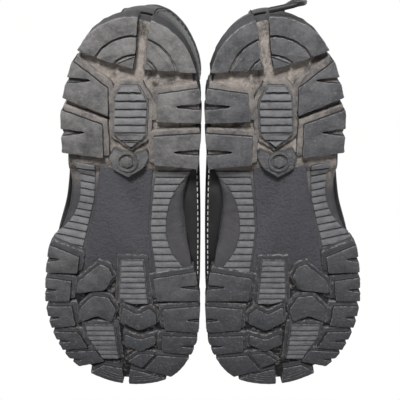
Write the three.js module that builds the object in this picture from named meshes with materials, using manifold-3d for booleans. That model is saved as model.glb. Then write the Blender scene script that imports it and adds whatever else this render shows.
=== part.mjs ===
// A pair of mid-height lug-soled leather boots, laced, standing upright on their treads.
//
// Millimetres, +Z up. The toes point to -Y, the left boot stands at +X and the right boot at -X.
// The origin is on the ground, midway between the boots and midway between heel and toe.
// Each boot is laid out in a frame of its own: x is the distance from the boot's medial tangent
// towards its lateral side, v is the distance from the back of the heel towards the toe.

import * as THREE from "three";
import { mergeVertices } from "three/addons/utils/BufferGeometryUtils.js";
import Module from "manifold-3d";

const wasm = await Module();
wasm.setup();

// ---------------------------------------------------------------- driving dimensions

const SOLE_LENGTH = 300;
const PAIR_GAP = 4;
const FIT_GAP = 0.3;
const FEATHER_GAP = 1.1;

// Heights above the ground.
const HEEL_SEAT = 31;
const BALL_SEAT = 21;
const HEEL_SEAT_END = 70;
const BALL_SEAT_START = 180;
const TOE_SPRING = 11;
const SPRING_START = 205;

// Sole layers.
const HEEL_LUG_DEPTH = 7;
const FRONT_LUG_DEPTH = 6;
const WAIST_FLOOR = 12;
const WAIST = { from: 98, fromFull: 106, toFull: 135, to: 180 };
const LUG_SHALLOWING = { from: 110, to: 170 };
const MIDSOLE_THICKNESS = 8;
const LUG_OVERHANG = 2.5;
const LUG_ROOT = 2;
const WELT_THICKNESS = 3;
const WELT_WIDTH = 12;
const WELT_INSET = 1;
const BOARD_THICKNESS = 2.2;
const BOARD_GAP = 0.5;
const FOOTBED_THICKNESS = 4.5;
const FOOTBED_INSET = 5;
const MIDSOLE_INSET = 2;
const SHANK = { width: 16, thickness: 1.5, from: 62, to: 176, x: 46, margin: 0.4, slot: 4 };

// Upper layers, measured outwards from the inner face of the shell leather.
const LEATHER = [0, 2];
const OVERLAY = [2.6, 4];
const STIFFENER = [-2.2, -0.5];
const LINING = [-5.2, -3.2];
const COLLAR = { middle: 0.9, half: 0.095, thickness: 11, centre: -1.2 };
const COLLAR_FROM = 6.25;

// The tongue: the places beside the throat at its base and its top, how far its edges lie from the
// rim, how deep it lies under the shell, its thickness, its raised middle and its free tip.
const TONGUE = {
  from: 0.75, to: 5.85, edge: 0.96, wide: 0.9, narrow: 0.84, flare: 0.06,
  depth: { base: 9, middle: 6.2, top: 8.7 }, thickness: 4.5, raise: 3,
  tip: { back: 4, up: 15, narrow: 0.9 },
};

// Lacing.
const LACE_DIAMETER = 3;
const EYELET = { bore: 2, flange: 4, height: 1, lift: 4.5 };
const EYELET_PLACES = [2.75, 3.6, 4.45, 5.3];
const EYELET_DEPTH = 0.915;
const KNOT = { lift: 7, back: 7.5, up: 6, radius: 5, scale: [1.25, 0.85, 1] };

// Where the lacing lies on the upper: a place around the boot, a share of the skin's height and a
// distance outwards from the skin.
const BOW_LOOP = [
  [5.85, 0.9, 11], [5.5, 0.77, 8], [5.1, 0.66, 6.5], [4.75, 0.58, 6], [4.5, 0.6, 6],
  [4.6, 0.7, 7], [5, 0.82, 9.5], [5.45, 0.93, 13.5],
];
const HANGING_LACE = [
  [4.5, 1, 13.5], [4.05, 0.93, 12], [3.95, 0.86, 10], [3.88, 0.79, 6.5], [3.82, 0.71, 5],
  [3.78, 0.63, 4.4], [3.76, 0.55, 4.2], [3.75, 0.47, 4.2], [3.75, 0.4, 4.2],
];
const COLLAR_LACE = { places: [6.35, 6.8, 7.3, 7.8, 8.2], lift: 3.4 };
const HEEL_LACE = [[8.55, 0.93, 7], [8.6, 0.82, 6.6], [8.62, 0.66, 6.1], [8.63, 0.48, 6], [8.63, 0.3, 6]];

// The last stretch of the trailing lace, behind the heel, as [x, v, z].
const GROUND_LACE = [
  [55, -2, 38], [57, -4.5, 27], [58, -6.5, 15], [57, -7, 6], [53, -7, 2], [45, -5.2, 1.8],
  [36, -3.4, 1.8],
];

// How far each shaft has slumped at its collar: towards the medial side, and towards the toe.
const SLUMP = { left: { medial: 7, forward: -1 }, right: { medial: -4, forward: 12 } };
const SLUMP_FROM = 45;
const SLUMP_FULL = 118;

// The outer edge of the lugs, as points [x, v] from the toe, along the lateral side, to the heel
// and back along the medial side.
const TREAD_EDGE = [
  [60, 300], [90, 284], [108, 256], [115, 212], [108, 163], [94, 127], [90, 90], [86, 50], [68, 12],
  [39, 0], [12, 13], [0, 45], [1, 95], [9, 128], [4, 174], [0, 212], [5, 256], [26, 292],
];

// The outer edge of the welt. It runs straighter than the tread along the waist.
const WELT_EDGE = [
  [60, 299], [89, 283], [107, 255], [113, 212], [107, 165], [96, 128], [90, 90], [84, 50], [67, 14],
  [39, 2], [13, 14], [2, 45], [0, 95], [-1, 133], [-1, 172], [0, 212], [6, 256], [27, 290],
];

// The upper is a skin between the feather line, where it meets the welt, and the rim: the edge of
// the collar and the throat. Each station around the boot gives a point [x, v] of the feather line,
// a point [x, v, z] of the rim, how far the skin bulges out and rises from the feather line, and
// how far it reaches out and drops from the rim.
const STATIONS = [
  { foot: [58, 291], rim: [56, 190, 71], out: 6, rise: 28, reach: 48, drop: 5 },
  { foot: [86, 275], rim: [62, 188, 71], out: 7, rise: 27, reach: 38, drop: 6 },
  { foot: [101, 247], rim: [66, 177, 75], out: 6, rise: 25, reach: 30, drop: 8 },
  { foot: [105, 210], rim: [67, 158, 84], out: 5, rise: 26, reach: 26, drop: 10 },
  { foot: [99, 167], rim: [67, 140, 94], out: 4, rise: 30, reach: 20, drop: 14 },
  { foot: [89, 130], rim: [66, 121, 106], out: 3, rise: 34, reach: 15, drop: 18 },
  { foot: [83, 92], rim: [66, 100, 117], out: 5, rise: 34, reach: 9, drop: 26 },
  { foot: [77, 50], rim: [78, 64, 112], out: 7, rise: 28, reach: 0, drop: 30 },
  { foot: [62, 20], rim: [66, 29, 111], out: 6, rise: 27, reach: 0, drop: 32 },
  { foot: [40, 9], rim: [42, 16, 114], out: 5, rise: 27, reach: 0, drop: 34 },
  { foot: [19, 20], rim: [20, 29, 111], out: 6, rise: 27, reach: 0, drop: 32 },
  { foot: [8, 50], rim: [9, 64, 112], out: 7, rise: 28, reach: 0, drop: 30 },
  { foot: [6, 92], rim: [28, 100, 117], out: 5, rise: 34, reach: 10, drop: 26 },
  { foot: [6, 132], rim: [31, 121, 106], out: 2, rise: 34, reach: 15, drop: 18 },
  { foot: [6, 170], rim: [35, 140, 94], out: 3, rise: 30, reach: 18, drop: 14 },
  { foot: [8, 210], rim: [39, 158, 84], out: 4, rise: 27, reach: 22, drop: 10 },
  { foot: [14, 248], rim: [43, 177, 75], out: 6, rise: 26, reach: 26, drop: 8 },
  { foot: [31, 277], rim: [50, 188, 71], out: 7, rise: 27, reach: 38, drop: 6 },
];
const ROUND = STATIONS.length;
const HEEL_STATION = ROUND / 2;

// Side lugs: where each begins and ends at the tread edge, and its two inner corners [x, v].
const LATERAL_LUGS = [
  { edge: [26, 49], inner: [[57, 43], [58, 61]], sipe: 13 },
  { edge: [57, 86], inner: [[62, 67], [63, 90]], sipe: 13 },
  { edge: [157, 180], inner: [[86, 167], [89, 181]], sipe: 8 },
  { edge: [185, 206], inner: [[94, 188], [97, 206]], sipe: 8 },
  { edge: [211, 232], inner: [[96, 211], [95, 230]], sipe: 9 },
  { edge: [236, 256], inner: [[94, 237], [88, 254]], sipe: 10 },
  { edge: [259, 276], inner: [[82, 257], [77, 270]], sipe: 8 },
];
const MEDIAL_LUGS = [
  { edge: [43, 66], inner: [[26, 47], [28, 65]], sipe: 14 },
  { edge: [73, 98], inner: [[30, 75], [30, 95]], sipe: 15 },
  { edge: [180, 206], inner: [[34, 186], [32, 206]], sipe: 12 },
  { edge: [211, 237], inner: [[28, 214], [27, 235]], sipe: 9 },
  { edge: [242, 262], inner: [[29, 241], [30, 258]], sipe: 9 },
  { edge: [266, 290], inner: [[34, 263], [45, 281]], sipe: 0 },
];

// The two lugs at the tip of the toe: where each lies on the tread edge, and its inner corners.
const TIP_LUGS = [
  { edge: [-0.02, -0.95], inner: [[47, 284], [57, 280]] },
  { edge: [0.12, 0.98], inner: [[78, 275], [63, 279]] },
];

// The heel's curved bands lie between these distances from the tread edge. The innermost one
// runs in to the middle of the cut that ends them all.
const HEEL_BANDS = [[0, 10.6], [11.8, 21.8], [23, null]];
const HEEL_CUT = { lateral: [75, 21], medial: [0, 34], middle: [38, 32], gap: 3 };

// Lugs in the middle of the tread.
const CENTRE_LUGS = [
  [[38, 41], [49, 41], [54, 48], [56, 74], [45, 83], [34, 75], [32, 52]],
  [[35, 85], [45, 89], [56, 84], [60, 90], [58, 99], [48, 104], [37, 98], [33, 90]],
  [[40, 170], [57, 170], [61, 208], [38, 209]],
  [[63, 184], [66, 176], [72, 173], [89, 188], [91, 199], [80, 197], [70, 196]],
  [[63, 214], [68, 203], [79, 201], [91, 214], [90, 226], [78, 220], [67, 226]],
  [[65, 230], [88, 230], [88, 241], [78, 267], [64, 267]],
  [[33, 219], [38, 213], [47, 219], [58, 212], [60, 226], [47, 235], [33, 228]],
  [[34, 240], [47, 245], [58, 239], [59, 251], [47, 258], [35, 250]],
  [[36, 262], [48, 261], [58, 270], [47, 278]],
];

// ---------------------------------------------------------------- curves and heights

const clamp01 = (t) => Math.min(1, Math.max(0, t));
const smooth = (t) => clamp01(t) ** 2 * (3 - 2 * clamp01(t));
const mix = (a, b, t) => a + (b - a) * t;

// A smooth closed curve through evenly numbered values, read at any place between them.
function around(values, place) {
  const first = Math.floor(place);
  const t = place - first;
  const at = (k) => values[(((first + k) % values.length) + values.length) % values.length];
  const [a, b, c, d] = [at(-1), at(0), at(1), at(2)];
  const cubic = 3 * b - 3 * c + d - a;
  return 0.5 * (2 * b + (c - a) * t + (2 * a - 5 * b + 4 * c - d) * t * t + cubic * t * t * t);
}

function edgePoint(edge, place, inset) {
  const read = (at) => [around(edge.map((p) => p[0]), at), around(edge.map((p) => p[1]), at)];
  const [x, v] = read(place);
  const [xa, va] = read(place - 0.02);
  const [xb, vb] = read(place + 0.02);
  const length = Math.hypot(xb - xa, vb - va);
  return [x - (-(vb - va) / length) * inset, v - ((xb - xa) / length) * inset];
}

function edgeLoop(edge, inset, steps) {
  return Array.from({ length: steps }, (_, i) => edgePoint(edge, (i * edge.length) / steps, inset));
}

// The two places where a closed outline crosses the line at distance v from the heel.
function crossings(outline, v) {
  const found = [];
  outline.forEach(([xa, va], i) => {
    const [xb, vb] = outline[(i + 1) % outline.length];
    if ((va < v) !== (vb < v)) found.push(mix(xa, xb, (v - va) / (vb - va)));
  });
  return [Math.min(...found), Math.max(...found)];
}

const toY = (v) => SOLE_LENGTH / 2 - v;

function toeLift(v) {
  return TOE_SPRING * (Math.max(0, v - SPRING_START) / (SOLE_LENGTH - SPRING_START)) ** 2;
}

function seatHeight(v) {
  const slope = smooth((v - HEEL_SEAT_END) / (BALL_SEAT_START - HEEL_SEAT_END));
  return mix(HEEL_SEAT, BALL_SEAT, slope) + toeLift(v);
}

function soleFloor(v) {
  const between = (from, to) => smooth((v - from) / (to - from));
  const waist = between(WAIST.from, WAIST.fromFull) * (1 - between(WAIST.toFull, WAIST.to));
  const shallower = between(LUG_SHALLOWING.from, LUG_SHALLOWING.to);
  return mix(mix(HEEL_LUG_DEPTH, FRONT_LUG_DEPTH, shallower), WAIST_FLOOR, waist) + toeLift(v);
}

// ---------------------------------------------------------------- solids

function geometryOf(points, index) {
  const geometry = new THREE.BufferGeometry();
  geometry.setAttribute("position", new THREE.Float32BufferAttribute(points.flat(), 3));
  geometry.setIndex(signedVolume(points, index) < 0 ? flipped(index) : index);
  return geometry;
}

function flipped(index) {
  const turned = [];
  for (let i = 0; i < index.length; i += 3) turned.push(index[i], index[i + 2], index[i + 1]);
  return turned;
}

function signedVolume(points, index) {
  let volume = 0;
  for (let i = 0; i < index.length; i += 3) {
    const [a, b, c] = [points[index[i]], points[index[i + 1]], points[index[i + 2]]];
    volume += a[0] * (b[1] * c[2] - b[2] * c[1]);
    volume += a[1] * (b[2] * c[0] - b[0] * c[2]);
    volume += a[2] * (b[0] * c[1] - b[1] * c[0]);
  }
  return volume;
}

// A closed body through rows of points. Each row is a ring: out along one face of the section
// and back along the other. A looped body joins its last row to its first.
function skin(rows, looped = false) {
  const size = rows[0].length;
  const index = [];
  const bands = looped ? rows.length : rows.length - 1;
  for (let i = 0; i < bands; i += 1) {
    const a = i * size;
    const b = ((i + 1) % rows.length) * size;
    for (let j = 0; j < size; j += 1) {
      const k = (j + 1) % size;
      // Both faces of a panel are split along the same diagonals, so that stacked panels nest.
      if (j < size / 2) index.push(a + j, b + j, b + k, a + j, b + k, a + k);
      else index.push(a + j, b + j, a + k, b + j, b + k, a + k);
    }
  }
  if (!looped) {
    const last = (rows.length - 1) * size;
    for (let j = 0; j < size / 2 - 1; j += 1) {
      const [p, q, r, s] = [j, j + 1, size - 2 - j, size - 1 - j];
      index.push(p, q, r, p, r, s);
      index.push(last + p, last + r, last + q, last + p, last + s, last + r);
    }
  }
  return geometryOf(rows.flat(), index);
}

// A plate between two outlines in plan, cut into cross rows, with its own lower and upper height.
function plate(outline, lower, upper, rowCount) {
  const distances = outline.map((p) => p[1]);
  const [from, to] = [Math.min(...distances) + 0.4, Math.max(...distances) - 0.4];
  const rows = [];
  for (let i = 0; i <= rowCount; i += 1) {
    const v = mix(from, to, (1 - Math.cos((Math.PI * i) / rowCount)) / 2);
    const [xa, xb] = crossings(outline, v);
    const xs = [xa, mix(xa, xb, 0.5), xb];
    const low = xs.map((x) => [x, toY(v), lower(v)]);
    const high = xs.map((x) => [x, toY(v), upper(v)]).reverse();
    rows.push([...low, ...high]);
  }
  return skin(rows);
}

// A prism on a plan outline; each corner has its own lower and upper height.
function prism(outline, lower, upper) {
  const shape = outline.map(([x, v]) => new THREE.Vector2(x, v));
  const count = outline.length;
  const points = [
    ...outline.map(([x, v]) => [x, toY(v), lower(v)]),
    ...outline.map(([x, v]) => [x, toY(v), upper(v)]),
  ];
  const faces = THREE.ShapeUtils.triangulateShape(shape, []);
  const inward = THREE.ShapeUtils.area(shape) > 0;
  const index = [];
  faces.forEach(([a, b, c]) => index.push(a, b, c, a + count, c + count, b + count));
  for (let i = 0; i < count; i += 1) {
    const j = (i + 1) % count;
    const side = [i, i + count, j + count, i, j + count, j];
    index.push(...(inward ? side : flipped(side)));
  }
  return geometryOf(points, index);
}

function toSolid(geometry) {
  const bare = geometry.clone();
  bare.deleteAttribute("normal");
  bare.deleteAttribute("uv");
  const merged = mergeVertices(bare, 1e-4);
  const vertProperties = new Float32Array(merged.attributes.position.array);
  const triVerts = new Uint32Array(merged.index.array);
  return new wasm.Manifold(new wasm.Mesh({ numProp: 3, vertProperties, triVerts }));
}

function fromSolid(solid) {
  const mesh = solid.getMesh();
  const geometry = new THREE.BufferGeometry();
  geometry.setAttribute("position", new THREE.BufferAttribute(mesh.vertProperties, 3));
  geometry.setIndex([...mesh.triVerts]);
  return geometry;
}

const joined = (geometries) => fromSolid(geometries.map(toSolid).reduce((a, b) => a.add(b)));
const cut = (body, tool) => fromSolid(toSolid(body).subtract(toSolid(tool)));

// A round cord through points, as straight-sided lengths.
function cord(points, diameter, steps, sides, closed = false) {
  const corners = Array.from({ length: sides }, (_, i) => {
    const angle = (2 * Math.PI * i) / sides;
    return new THREE.Vector2(Math.cos(angle), Math.sin(angle)).multiplyScalar(diameter / 2);
  });
  const path = new THREE.CatmullRomCurve3(points.map((p) => new THREE.Vector3(...p)), closed);
  const options = { steps, extrudePath: path, bevelEnabled: false };
  const extruded = new THREE.ExtrudeGeometry(new THREE.Shape(corners), options);
  extruded.deleteAttribute("normal");
  extruded.deleteAttribute("uv");
  const merged = mergeVertices(extruded, 1e-4);
  const vertices = [];
  const array = merged.attributes.position.array;
  for (let i = 0; i < array.length; i += 3) vertices.push([array[i], array[i + 1], array[i + 2]]);
  return geometryOf(vertices, [...merged.index.array]);
}

// ---------------------------------------------------------------- the upper's skin

const stationValues = (read) => STATIONS.map(read);
const FOOT_X = stationValues((s) => s.foot[0]);
const FOOT_V = stationValues((s) => s.foot[1]);
const RIM = [0, 1, 2].map((axis) => stationValues((s) => s.rim[axis]));
const OUT = stationValues((s) => s.out);
const RISE = stationValues((s) => s.rise);
const REACH = stationValues((s) => s.reach);
const DROP = stationValues((s) => s.drop);

// Steps around the boot and up the skin over which its direction is read.
const SMALL_TURN = 0.05;
const SMALL_RISE = 0.02;

function featherPoint(place) {
  return new THREE.Vector3(around(FOOT_X, place), toY(around(FOOT_V, place)), 0);
}

// A point of the skin, where place runs around the boot and s from the feather line to the rim.
function skinPoint(place, s, slump) {
  const footV = around(FOOT_V, place);
  const foot = featherPoint(place);
  foot.z = seatHeight(footV) + WELT_THICKNESS + FEATHER_GAP;
  const [rimX, rimV, rimZ] = RIM.map((values) => around(values, place));
  const rim = new THREE.Vector3(rimX, toY(rimV), rimZ);
  const ahead = featherPoint(place + SMALL_TURN);
  const outward = ahead.sub(featherPoint(place - SMALL_TURN)).cross(new THREE.Vector3(0, 0, 1)).normalize();
  const spread = new THREE.Vector3(foot.x - rim.x, foot.y - rim.y, 0).normalize();
  const low = foot.clone().addScaledVector(outward, around(OUT, place));
  low.z += around(RISE, place);
  const high = rim.clone().addScaledVector(spread, around(REACH, place));
  high.z -= around(DROP, place);
  const point = new THREE.CubicBezierCurve3(foot, low, high, rim).getPoint(s);
  const lean = smooth((point.z - SLUMP_FROM) / (SLUMP_FULL - SLUMP_FROM));
  point.x -= slump.medial * lean;
  point.y -= slump.forward * lean;
  return point;
}

function skinNormal(place, s, slump) {
  const [next, last] = [place + SMALL_TURN, place - SMALL_TURN];
  const along = skinPoint(next, s, slump).sub(skinPoint(last, s, slump));
  const upward = skinPoint(place, s + SMALL_RISE, slump).sub(skinPoint(place, s - SMALL_RISE, slump));
  return along.cross(upward).normalize();
}

function offsetPoint(place, s, offset, slump) {
  return skinPoint(place, s, slump).addScaledVector(skinNormal(place, s, slump), offset).toArray();
}

// A panel of the upper: a stretch around the boot, its lower and upper edges, and its two faces.
function panel({ from, to, low, high, faces, steps, rises, slump, looped }) {
  const rows = [];
  const rowCount = looped ? steps - 1 : steps;
  for (let i = 0; i <= rowCount; i += 1) {
    const place = mix(from, to, i / steps);
    const levels = Array.from({ length: rises + 1 }, (_, j) => mix(low(place), high(place), j / rises));
    const outer = levels.map((s) => offsetPoint(place, s, faces[1], slump));
    const inner = levels.map((s) => offsetPoint(place, s, faces[0], slump)).reverse();
    rows.push([...outer, ...inner]);
  }
  return skin(rows, looped);
}

const TOP = 0.99;

// The shell's upper edge: the throat edge in front, the foot of the collar pad behind.
function shellTop(place) {
  const fromHeel = Math.abs(place - HEEL_STATION);
  const front = HEEL_STATION - COLLAR_FROM;
  return mix(COLLAR.middle - COLLAR.half - 0.02, TOP, smooth((fromHeel - front - 0.06) / 0.4));
}

// ---------------------------------------------------------------- sole parts

// The stretch of the tread edge between two distances from the heel, on one side.
function edgeStretch(side, from, to, count, bite) {
  const loop = edgeLoop(TREAD_EDGE, 0, 180);
  const onSide = (v) => crossings(loop, v)[side === "lateral" ? 1 : 0];
  const inward = side === "lateral" ? -1 : 1;
  const points = Array.from({ length: count }, (_, i) => {
    const v = mix(from, to, i / (count - 1));
    return [onSide(v), v];
  });
  if (bite > 0) {
    const middle = mix(from, to, 0.5);
    const mouth = 1.4;
    const notch = [
      [onSide(middle - mouth), middle - mouth],
      [onSide(middle) + inward * bite, middle],
      [onSide(middle + mouth), middle + mouth],
    ];
    points.splice(count / 2, 0, ...notch);
  }
  return points;
}

function sideLugs(side, lugs) {
  return lugs.map(({ edge, inner, sipe }) => {
    return [...edgeStretch(side, edge[0], edge[1], 4, sipe), inner[1], inner[0]];
  });
}

function tipLug({ edge, inner }) {
  const steps = 4;
  const outer = Array.from({ length: steps }, (_, i) => {
    return edgePoint(TREAD_EDGE, mix(edge[0], edge[1], i / (steps - 1)), 0);
  });
  return [...outer, ...inner];
}

// One half of a heel band, between the heel's centre channel and the cut that ends the band.
function heelBand(side, [outer, inner]) {
  const { lateral, medial, middle, gap } = HEEL_CUT;
  const end = side === "lateral" ? lateral : medial;
  const sign = side === "lateral" ? 1 : -1;
  const centreX = (v) => 33 + 0.12 * v + sign * gap;
  const cutV = (x) => mix(middle[1], end[1], (x - middle[0]) / (end[0] - middle[0]));
  const arc = (inset) => {
    const loop = edgeLoop(TREAD_EDGE, inset, 180).slice(66, 115);
    const kept = loop.filter(([x, v]) => sign * (x - centreX(v)) > 0 && v < cutV(x));
    kept.sort((a, b) => sign * (a[0] - b[0]));
    return [0, 0.33, 0.66, 1].map((t) => kept[Math.round(t * (kept.length - 1))]);
  };
  const corner = [[middle[0] + sign * gap, middle[1] - 1]];
  return [...arc(outer), ...(inner === null ? corner : arc(inner).reverse())];
}

function outsoleGeometry() {
  const base = edgeLoop(TREAD_EDGE, LUG_OVERHANG, 180);
  const slab = plate(base, soleFloor, (v) => seatHeight(v) - MIDSOLE_THICKNESS, 26);
  const outlines = [
    ...sideLugs("lateral", LATERAL_LUGS),
    ...sideLugs("medial", MEDIAL_LUGS),
    ...TIP_LUGS.map(tipLug),
    ...HEEL_BANDS.flatMap((band) => [heelBand("lateral", band), heelBand("medial", band)]),
    ...CENTRE_LUGS,
  ];
  const lugs = outlines.map((outline) => prism(outline, toeLift, (v) => soleFloor(v) + LUG_ROOT));
  return joined([slab, ...lugs]);
}

function midsoleGeometry() {
  const outline = edgeLoop(WELT_EDGE, MIDSOLE_INSET, 180);
  const lower = (v) => seatHeight(v) - MIDSOLE_THICKNESS + FIT_GAP;
  const body = plate(outline, lower, (v) => seatHeight(v) - FIT_GAP, 22);
  return cut(body, shankStrip(SHANK.margin, SHANK.slot));
}

// The shank's strip, grown by a margin at its sides and ends, from its underside up to a height.
function shankStrip(margin, rise) {
  const half = SHANK.width / 2 + margin;
  const rows = [];
  const steps = 8;
  for (let i = 0; i <= steps; i += 1) {
    const v = mix(SHANK.from - margin, SHANK.to + margin, i / steps);
    const low = seatHeight(v) - FIT_GAP - SHANK.thickness - SHANK.margin - margin;
    const xs = [SHANK.x - half, SHANK.x + half];
    rows.push([
      ...xs.map((x) => [x, toY(v), low]),
      ...xs.map((x) => [x, toY(v), low + rise]).reverse(),
    ]);
  }
  return skin(rows);
}

function weltGeometry() {
  const steps = 46;
  const rows = Array.from({ length: steps }, (_, i) => {
    const place = (i * WELT_EDGE.length) / steps;
    const outer = edgePoint(WELT_EDGE, place, WELT_INSET);
    const inner = edgePoint(WELT_EDGE, place, WELT_INSET + WELT_WIDTH);
    const at = ([x, v], rise) => [x, toY(v), seatHeight(v) + rise];
    return [at(outer, 0), at(outer, WELT_THICKNESS), at(inner, WELT_THICKNESS), at(inner, 0)];
  });
  return skin(rows, true);
}

function insoleBoardGeometry() {
  const outline = edgeLoop(WELT_EDGE, WELT_INSET + WELT_WIDTH + BOARD_GAP, 120);
  return plate(outline, seatHeight, (v) => seatHeight(v) + BOARD_THICKNESS, 16);
}

function footbedGeometry() {
  const outline = edgeLoop(WELT_EDGE, WELT_INSET + WELT_WIDTH + FOOTBED_INSET, 120);
  const lower = (v) => seatHeight(v) + BOARD_THICKNESS + FIT_GAP;
  return plate(outline, lower, (v) => lower(v) + FOOTBED_THICKNESS, 16);
}

// ---------------------------------------------------------------- upper parts

const VAMP_END = 3.3;
const VAMP_STEPS = 16;
const QUARTER_STEPS = 14;
const RISES = 5;
const SEAM = 0.015;

// Overlays and stiffeners share the facets of the panels they lie on, so that they stay clear.
const VAMP_STEP = (2 * VAMP_END) / VAMP_STEPS;
const QUARTER_STEP = (HEEL_STATION - VAMP_END - 2 * SEAM) / QUARTER_STEPS;
const level = (rise) => (place) => (shellTop(place) * rise) / RISES;

function upperPanels(slump) {
  const shell = { slump, faces: LEATHER, low: level(0), high: level(RISES), rises: RISES };
  const eyestay = { slump, faces: OVERLAY, low: level(4), high: level(RISES), steps: 8, rises: 1 };
  const stayFrom = VAMP_END + SEAM - 2 * QUARTER_STEP;
  const stayTo = stayFrom + 8 * QUARTER_STEP;
  return {
    vamp: panel({ ...shell, from: -VAMP_END, to: VAMP_END, steps: VAMP_STEPS }),
    quarter_lateral: panel({
      ...shell, from: VAMP_END + SEAM, to: HEEL_STATION - SEAM, steps: QUARTER_STEPS,
    }),
    quarter_medial: panel({
      ...shell, from: HEEL_STATION + SEAM, to: ROUND - VAMP_END - SEAM, steps: QUARTER_STEPS,
    }),
    backstay: panel({
      slump, faces: OVERLAY, low: () => 0.03, high: level(RISES), rises: 8, steps: 2,
      from: HEEL_STATION - QUARTER_STEP, to: HEEL_STATION + QUARTER_STEP,
    }),
    eyestay_lateral: panel({ ...eyestay, from: stayFrom, to: stayTo }),
    eyestay_medial: panel({ ...eyestay, from: ROUND - stayTo, to: ROUND - stayFrom }),
    toe_puff: panel({
      slump, faces: STIFFENER, low: level(0), high: level(3), rises: 3, steps: 8,
      from: -4 * VAMP_STEP, to: 4 * VAMP_STEP,
    }),
    heel_counter: panel({
      slump, faces: STIFFENER, low: level(0), high: level(3), rises: 3, steps: 10,
      from: HEEL_STATION - 5 * QUARTER_STEP, to: HEEL_STATION + 5 * QUARTER_STEP,
    }),
    lining: panel({
      slump, faces: LINING, low: level(0), high: level(RISES), rises: 4, steps: 30,
      from: 0, to: ROUND, looped: true,
    }),
  };
}

function collarGeometry(slump) {
  const steps = 18;
  const sides = 8;
  const rows = [];
  for (let i = 0; i <= steps; i += 1) {
    const place = mix(COLLAR_FROM, ROUND - COLLAR_FROM, i / steps);
    const ends = Math.min(i, steps - i) / 1.5;
    const full = Math.sqrt(clamp01(0.35 + ends));
    rows.push(Array.from({ length: sides }, (_, j) => {
      const angle = (2 * Math.PI * (j + 0.5)) / sides;
      const s = COLLAR.middle + COLLAR.half * full * Math.cos(angle);
      const offset = COLLAR.centre + (COLLAR.thickness / 2) * full * Math.sin(angle);
      return offsetPoint(place, s, offset, slump);
    }));
  }
  return skin(rows);
}

// The tongue fills the throat from below: its edges lie under the shell, its middle is raised.
function tongueGeometry(slump) {
  const { from, to, edge, wide, narrow, flare, depth, thickness, raise, tip } = TONGUE;
  const steps = 10;
  const rows = [];
  for (let i = 0; i <= steps; i += 1) {
    const t = i / steps;
    const lateral = mix(from, to, t);
    const medial = ROUND - lateral;
    const spread = mix(wide, narrow, smooth(2 * t)) + flare * smooth(2 * t - 1);
    const sink = mix(mix(depth.base, depth.middle, smooth(3 * t)), depth.top, smooth(2 * t - 1));
    const face = (extra) => {
      const at = (place, s) => offsetPoint(place, s, -sink - extra, slump);
      const [b, c] = [at(lateral, edge), at(medial, edge)];
      const [x, y, z] = midpoint(b, c);
      return [at(lateral, spread), b, [x, y - raise / 2, z + raise], c, at(medial, spread)];
    };
    rows.push([...face(0), ...face(thickness).reverse()]);
  }
  const last = rows[steps];
  const centre = last[2][0];
  rows.push(last.map(([x, y, z]) => [mix(centre, x, tip.narrow), y + tip.back, z + tip.up]));
  return skin(rows);
}

function midpoint(a, b) {
  return a.map((value, i) => (value + b[i]) / 2);
}

// ---------------------------------------------------------------- lacing

const eyeletPlaces = (side) => EYELET_PLACES.map((p) => (side === "lateral" ? p : ROUND - p));

// Points on one side of the boot from a table of places, heights and distances from the skin.
function onSide(side, table, slump) {
  const place = (p) => (side === "lateral" ? p : ROUND - p);
  return table.map(([p, s, offset]) => offsetPoint(place(p), s, offset, slump));
}

function laceRunGeometry(slump) {
  const lift = EYELET.lift + EYELET.height + FIT_GAP + LACE_DIAMETER / 2;
  const flip = (place, side) => (side === 0 ? place : ROUND - place);
  const route = [];
  EYELET_PLACES.forEach((place, row) => {
    const near = row % 2;
    const far = 1 - near;
    const at = (side, s) => offsetPoint(flip(place, side), s, lift, slump);
    const middle = midpoint(at(0, 1.01), at(1, 1.01));
    middle[2] += 1;
    route.push(at(near, EYELET_DEPTH), at(near, 1.01), middle, at(far, 1.01), at(far, EYELET_DEPTH));
    if (row < EYELET_PLACES.length - 1) {
      const between = mix(place, EYELET_PLACES[row + 1], 0.5);
      route.push(offsetPoint(flip(between, far), EYELET_DEPTH - 0.02, lift + 0.3, slump));
    }
  });
  return cord(route, LACE_DIAMETER, 54, 6);
}

// The knot sits on the tongue, just above the top pair of eyelets.
function knotCentre(slump) {
  const top = EYELET_PLACES[EYELET_PLACES.length - 1];
  const edge = (place) => offsetPoint(place, 1, KNOT.lift, slump);
  const [x, y, z] = midpoint(edge(top), edge(ROUND - top));
  return [x, y + KNOT.back, z + KNOT.up];
}

// A point beside the knot, on one side of it.
function besideKnot(side, slump, [across, along, up]) {
  const [x, y, z] = knotCentre(slump);
  return [x + (side === "lateral" ? across : -across), y + along, z + up];
}

function bowGeometry(slump) {
  const knot = new THREE.IcosahedronGeometry(KNOT.radius, 1);
  knot.scale(...KNOT.scale);
  knot.translate(...knotCentre(slump));
  const loops = ["lateral", "medial"].map((side) => cord([
    besideKnot(side, slump, [3, 1, 1]),
    ...onSide(side, BOW_LOOP, slump),
    besideKnot(side, slump, [3, -2.5, 1]),
  ], LACE_DIAMETER, 16, 6));
  return joined([knot, ...loops]);
}

// A free end hangs from the knot down the front of the boot, over the shell.
function hangingEnd(side, slump) {
  return [
    besideKnot(side, slump, [3, -6, 1.6]),
    besideKnot(side, slump, [7, -11, 0]),
    ...onSide(side, HANGING_LACE, slump),
  ];
}

// One free end of the right boot lies along the collar, falls down behind the heel and ends on
// the ground there.
function trailingEnd(slump) {
  const overCollar = COLLAR_LACE.places.map((place) => {
    const [x, y, z] = offsetPoint(place, 1, COLLAR.centre, slump);
    return [x, y, z + COLLAR_LACE.lift];
  });
  return [
    besideKnot("lateral", slump, [2, 3.6, 6]),
    besideKnot("lateral", slump, [11, 9, 9]),
    ...overCollar,
    ...onSide("lateral", HEEL_LACE, slump),
    ...GROUND_LACE.map(([x, v, z]) => [x, toY(v), z]),
  ];
}

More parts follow.
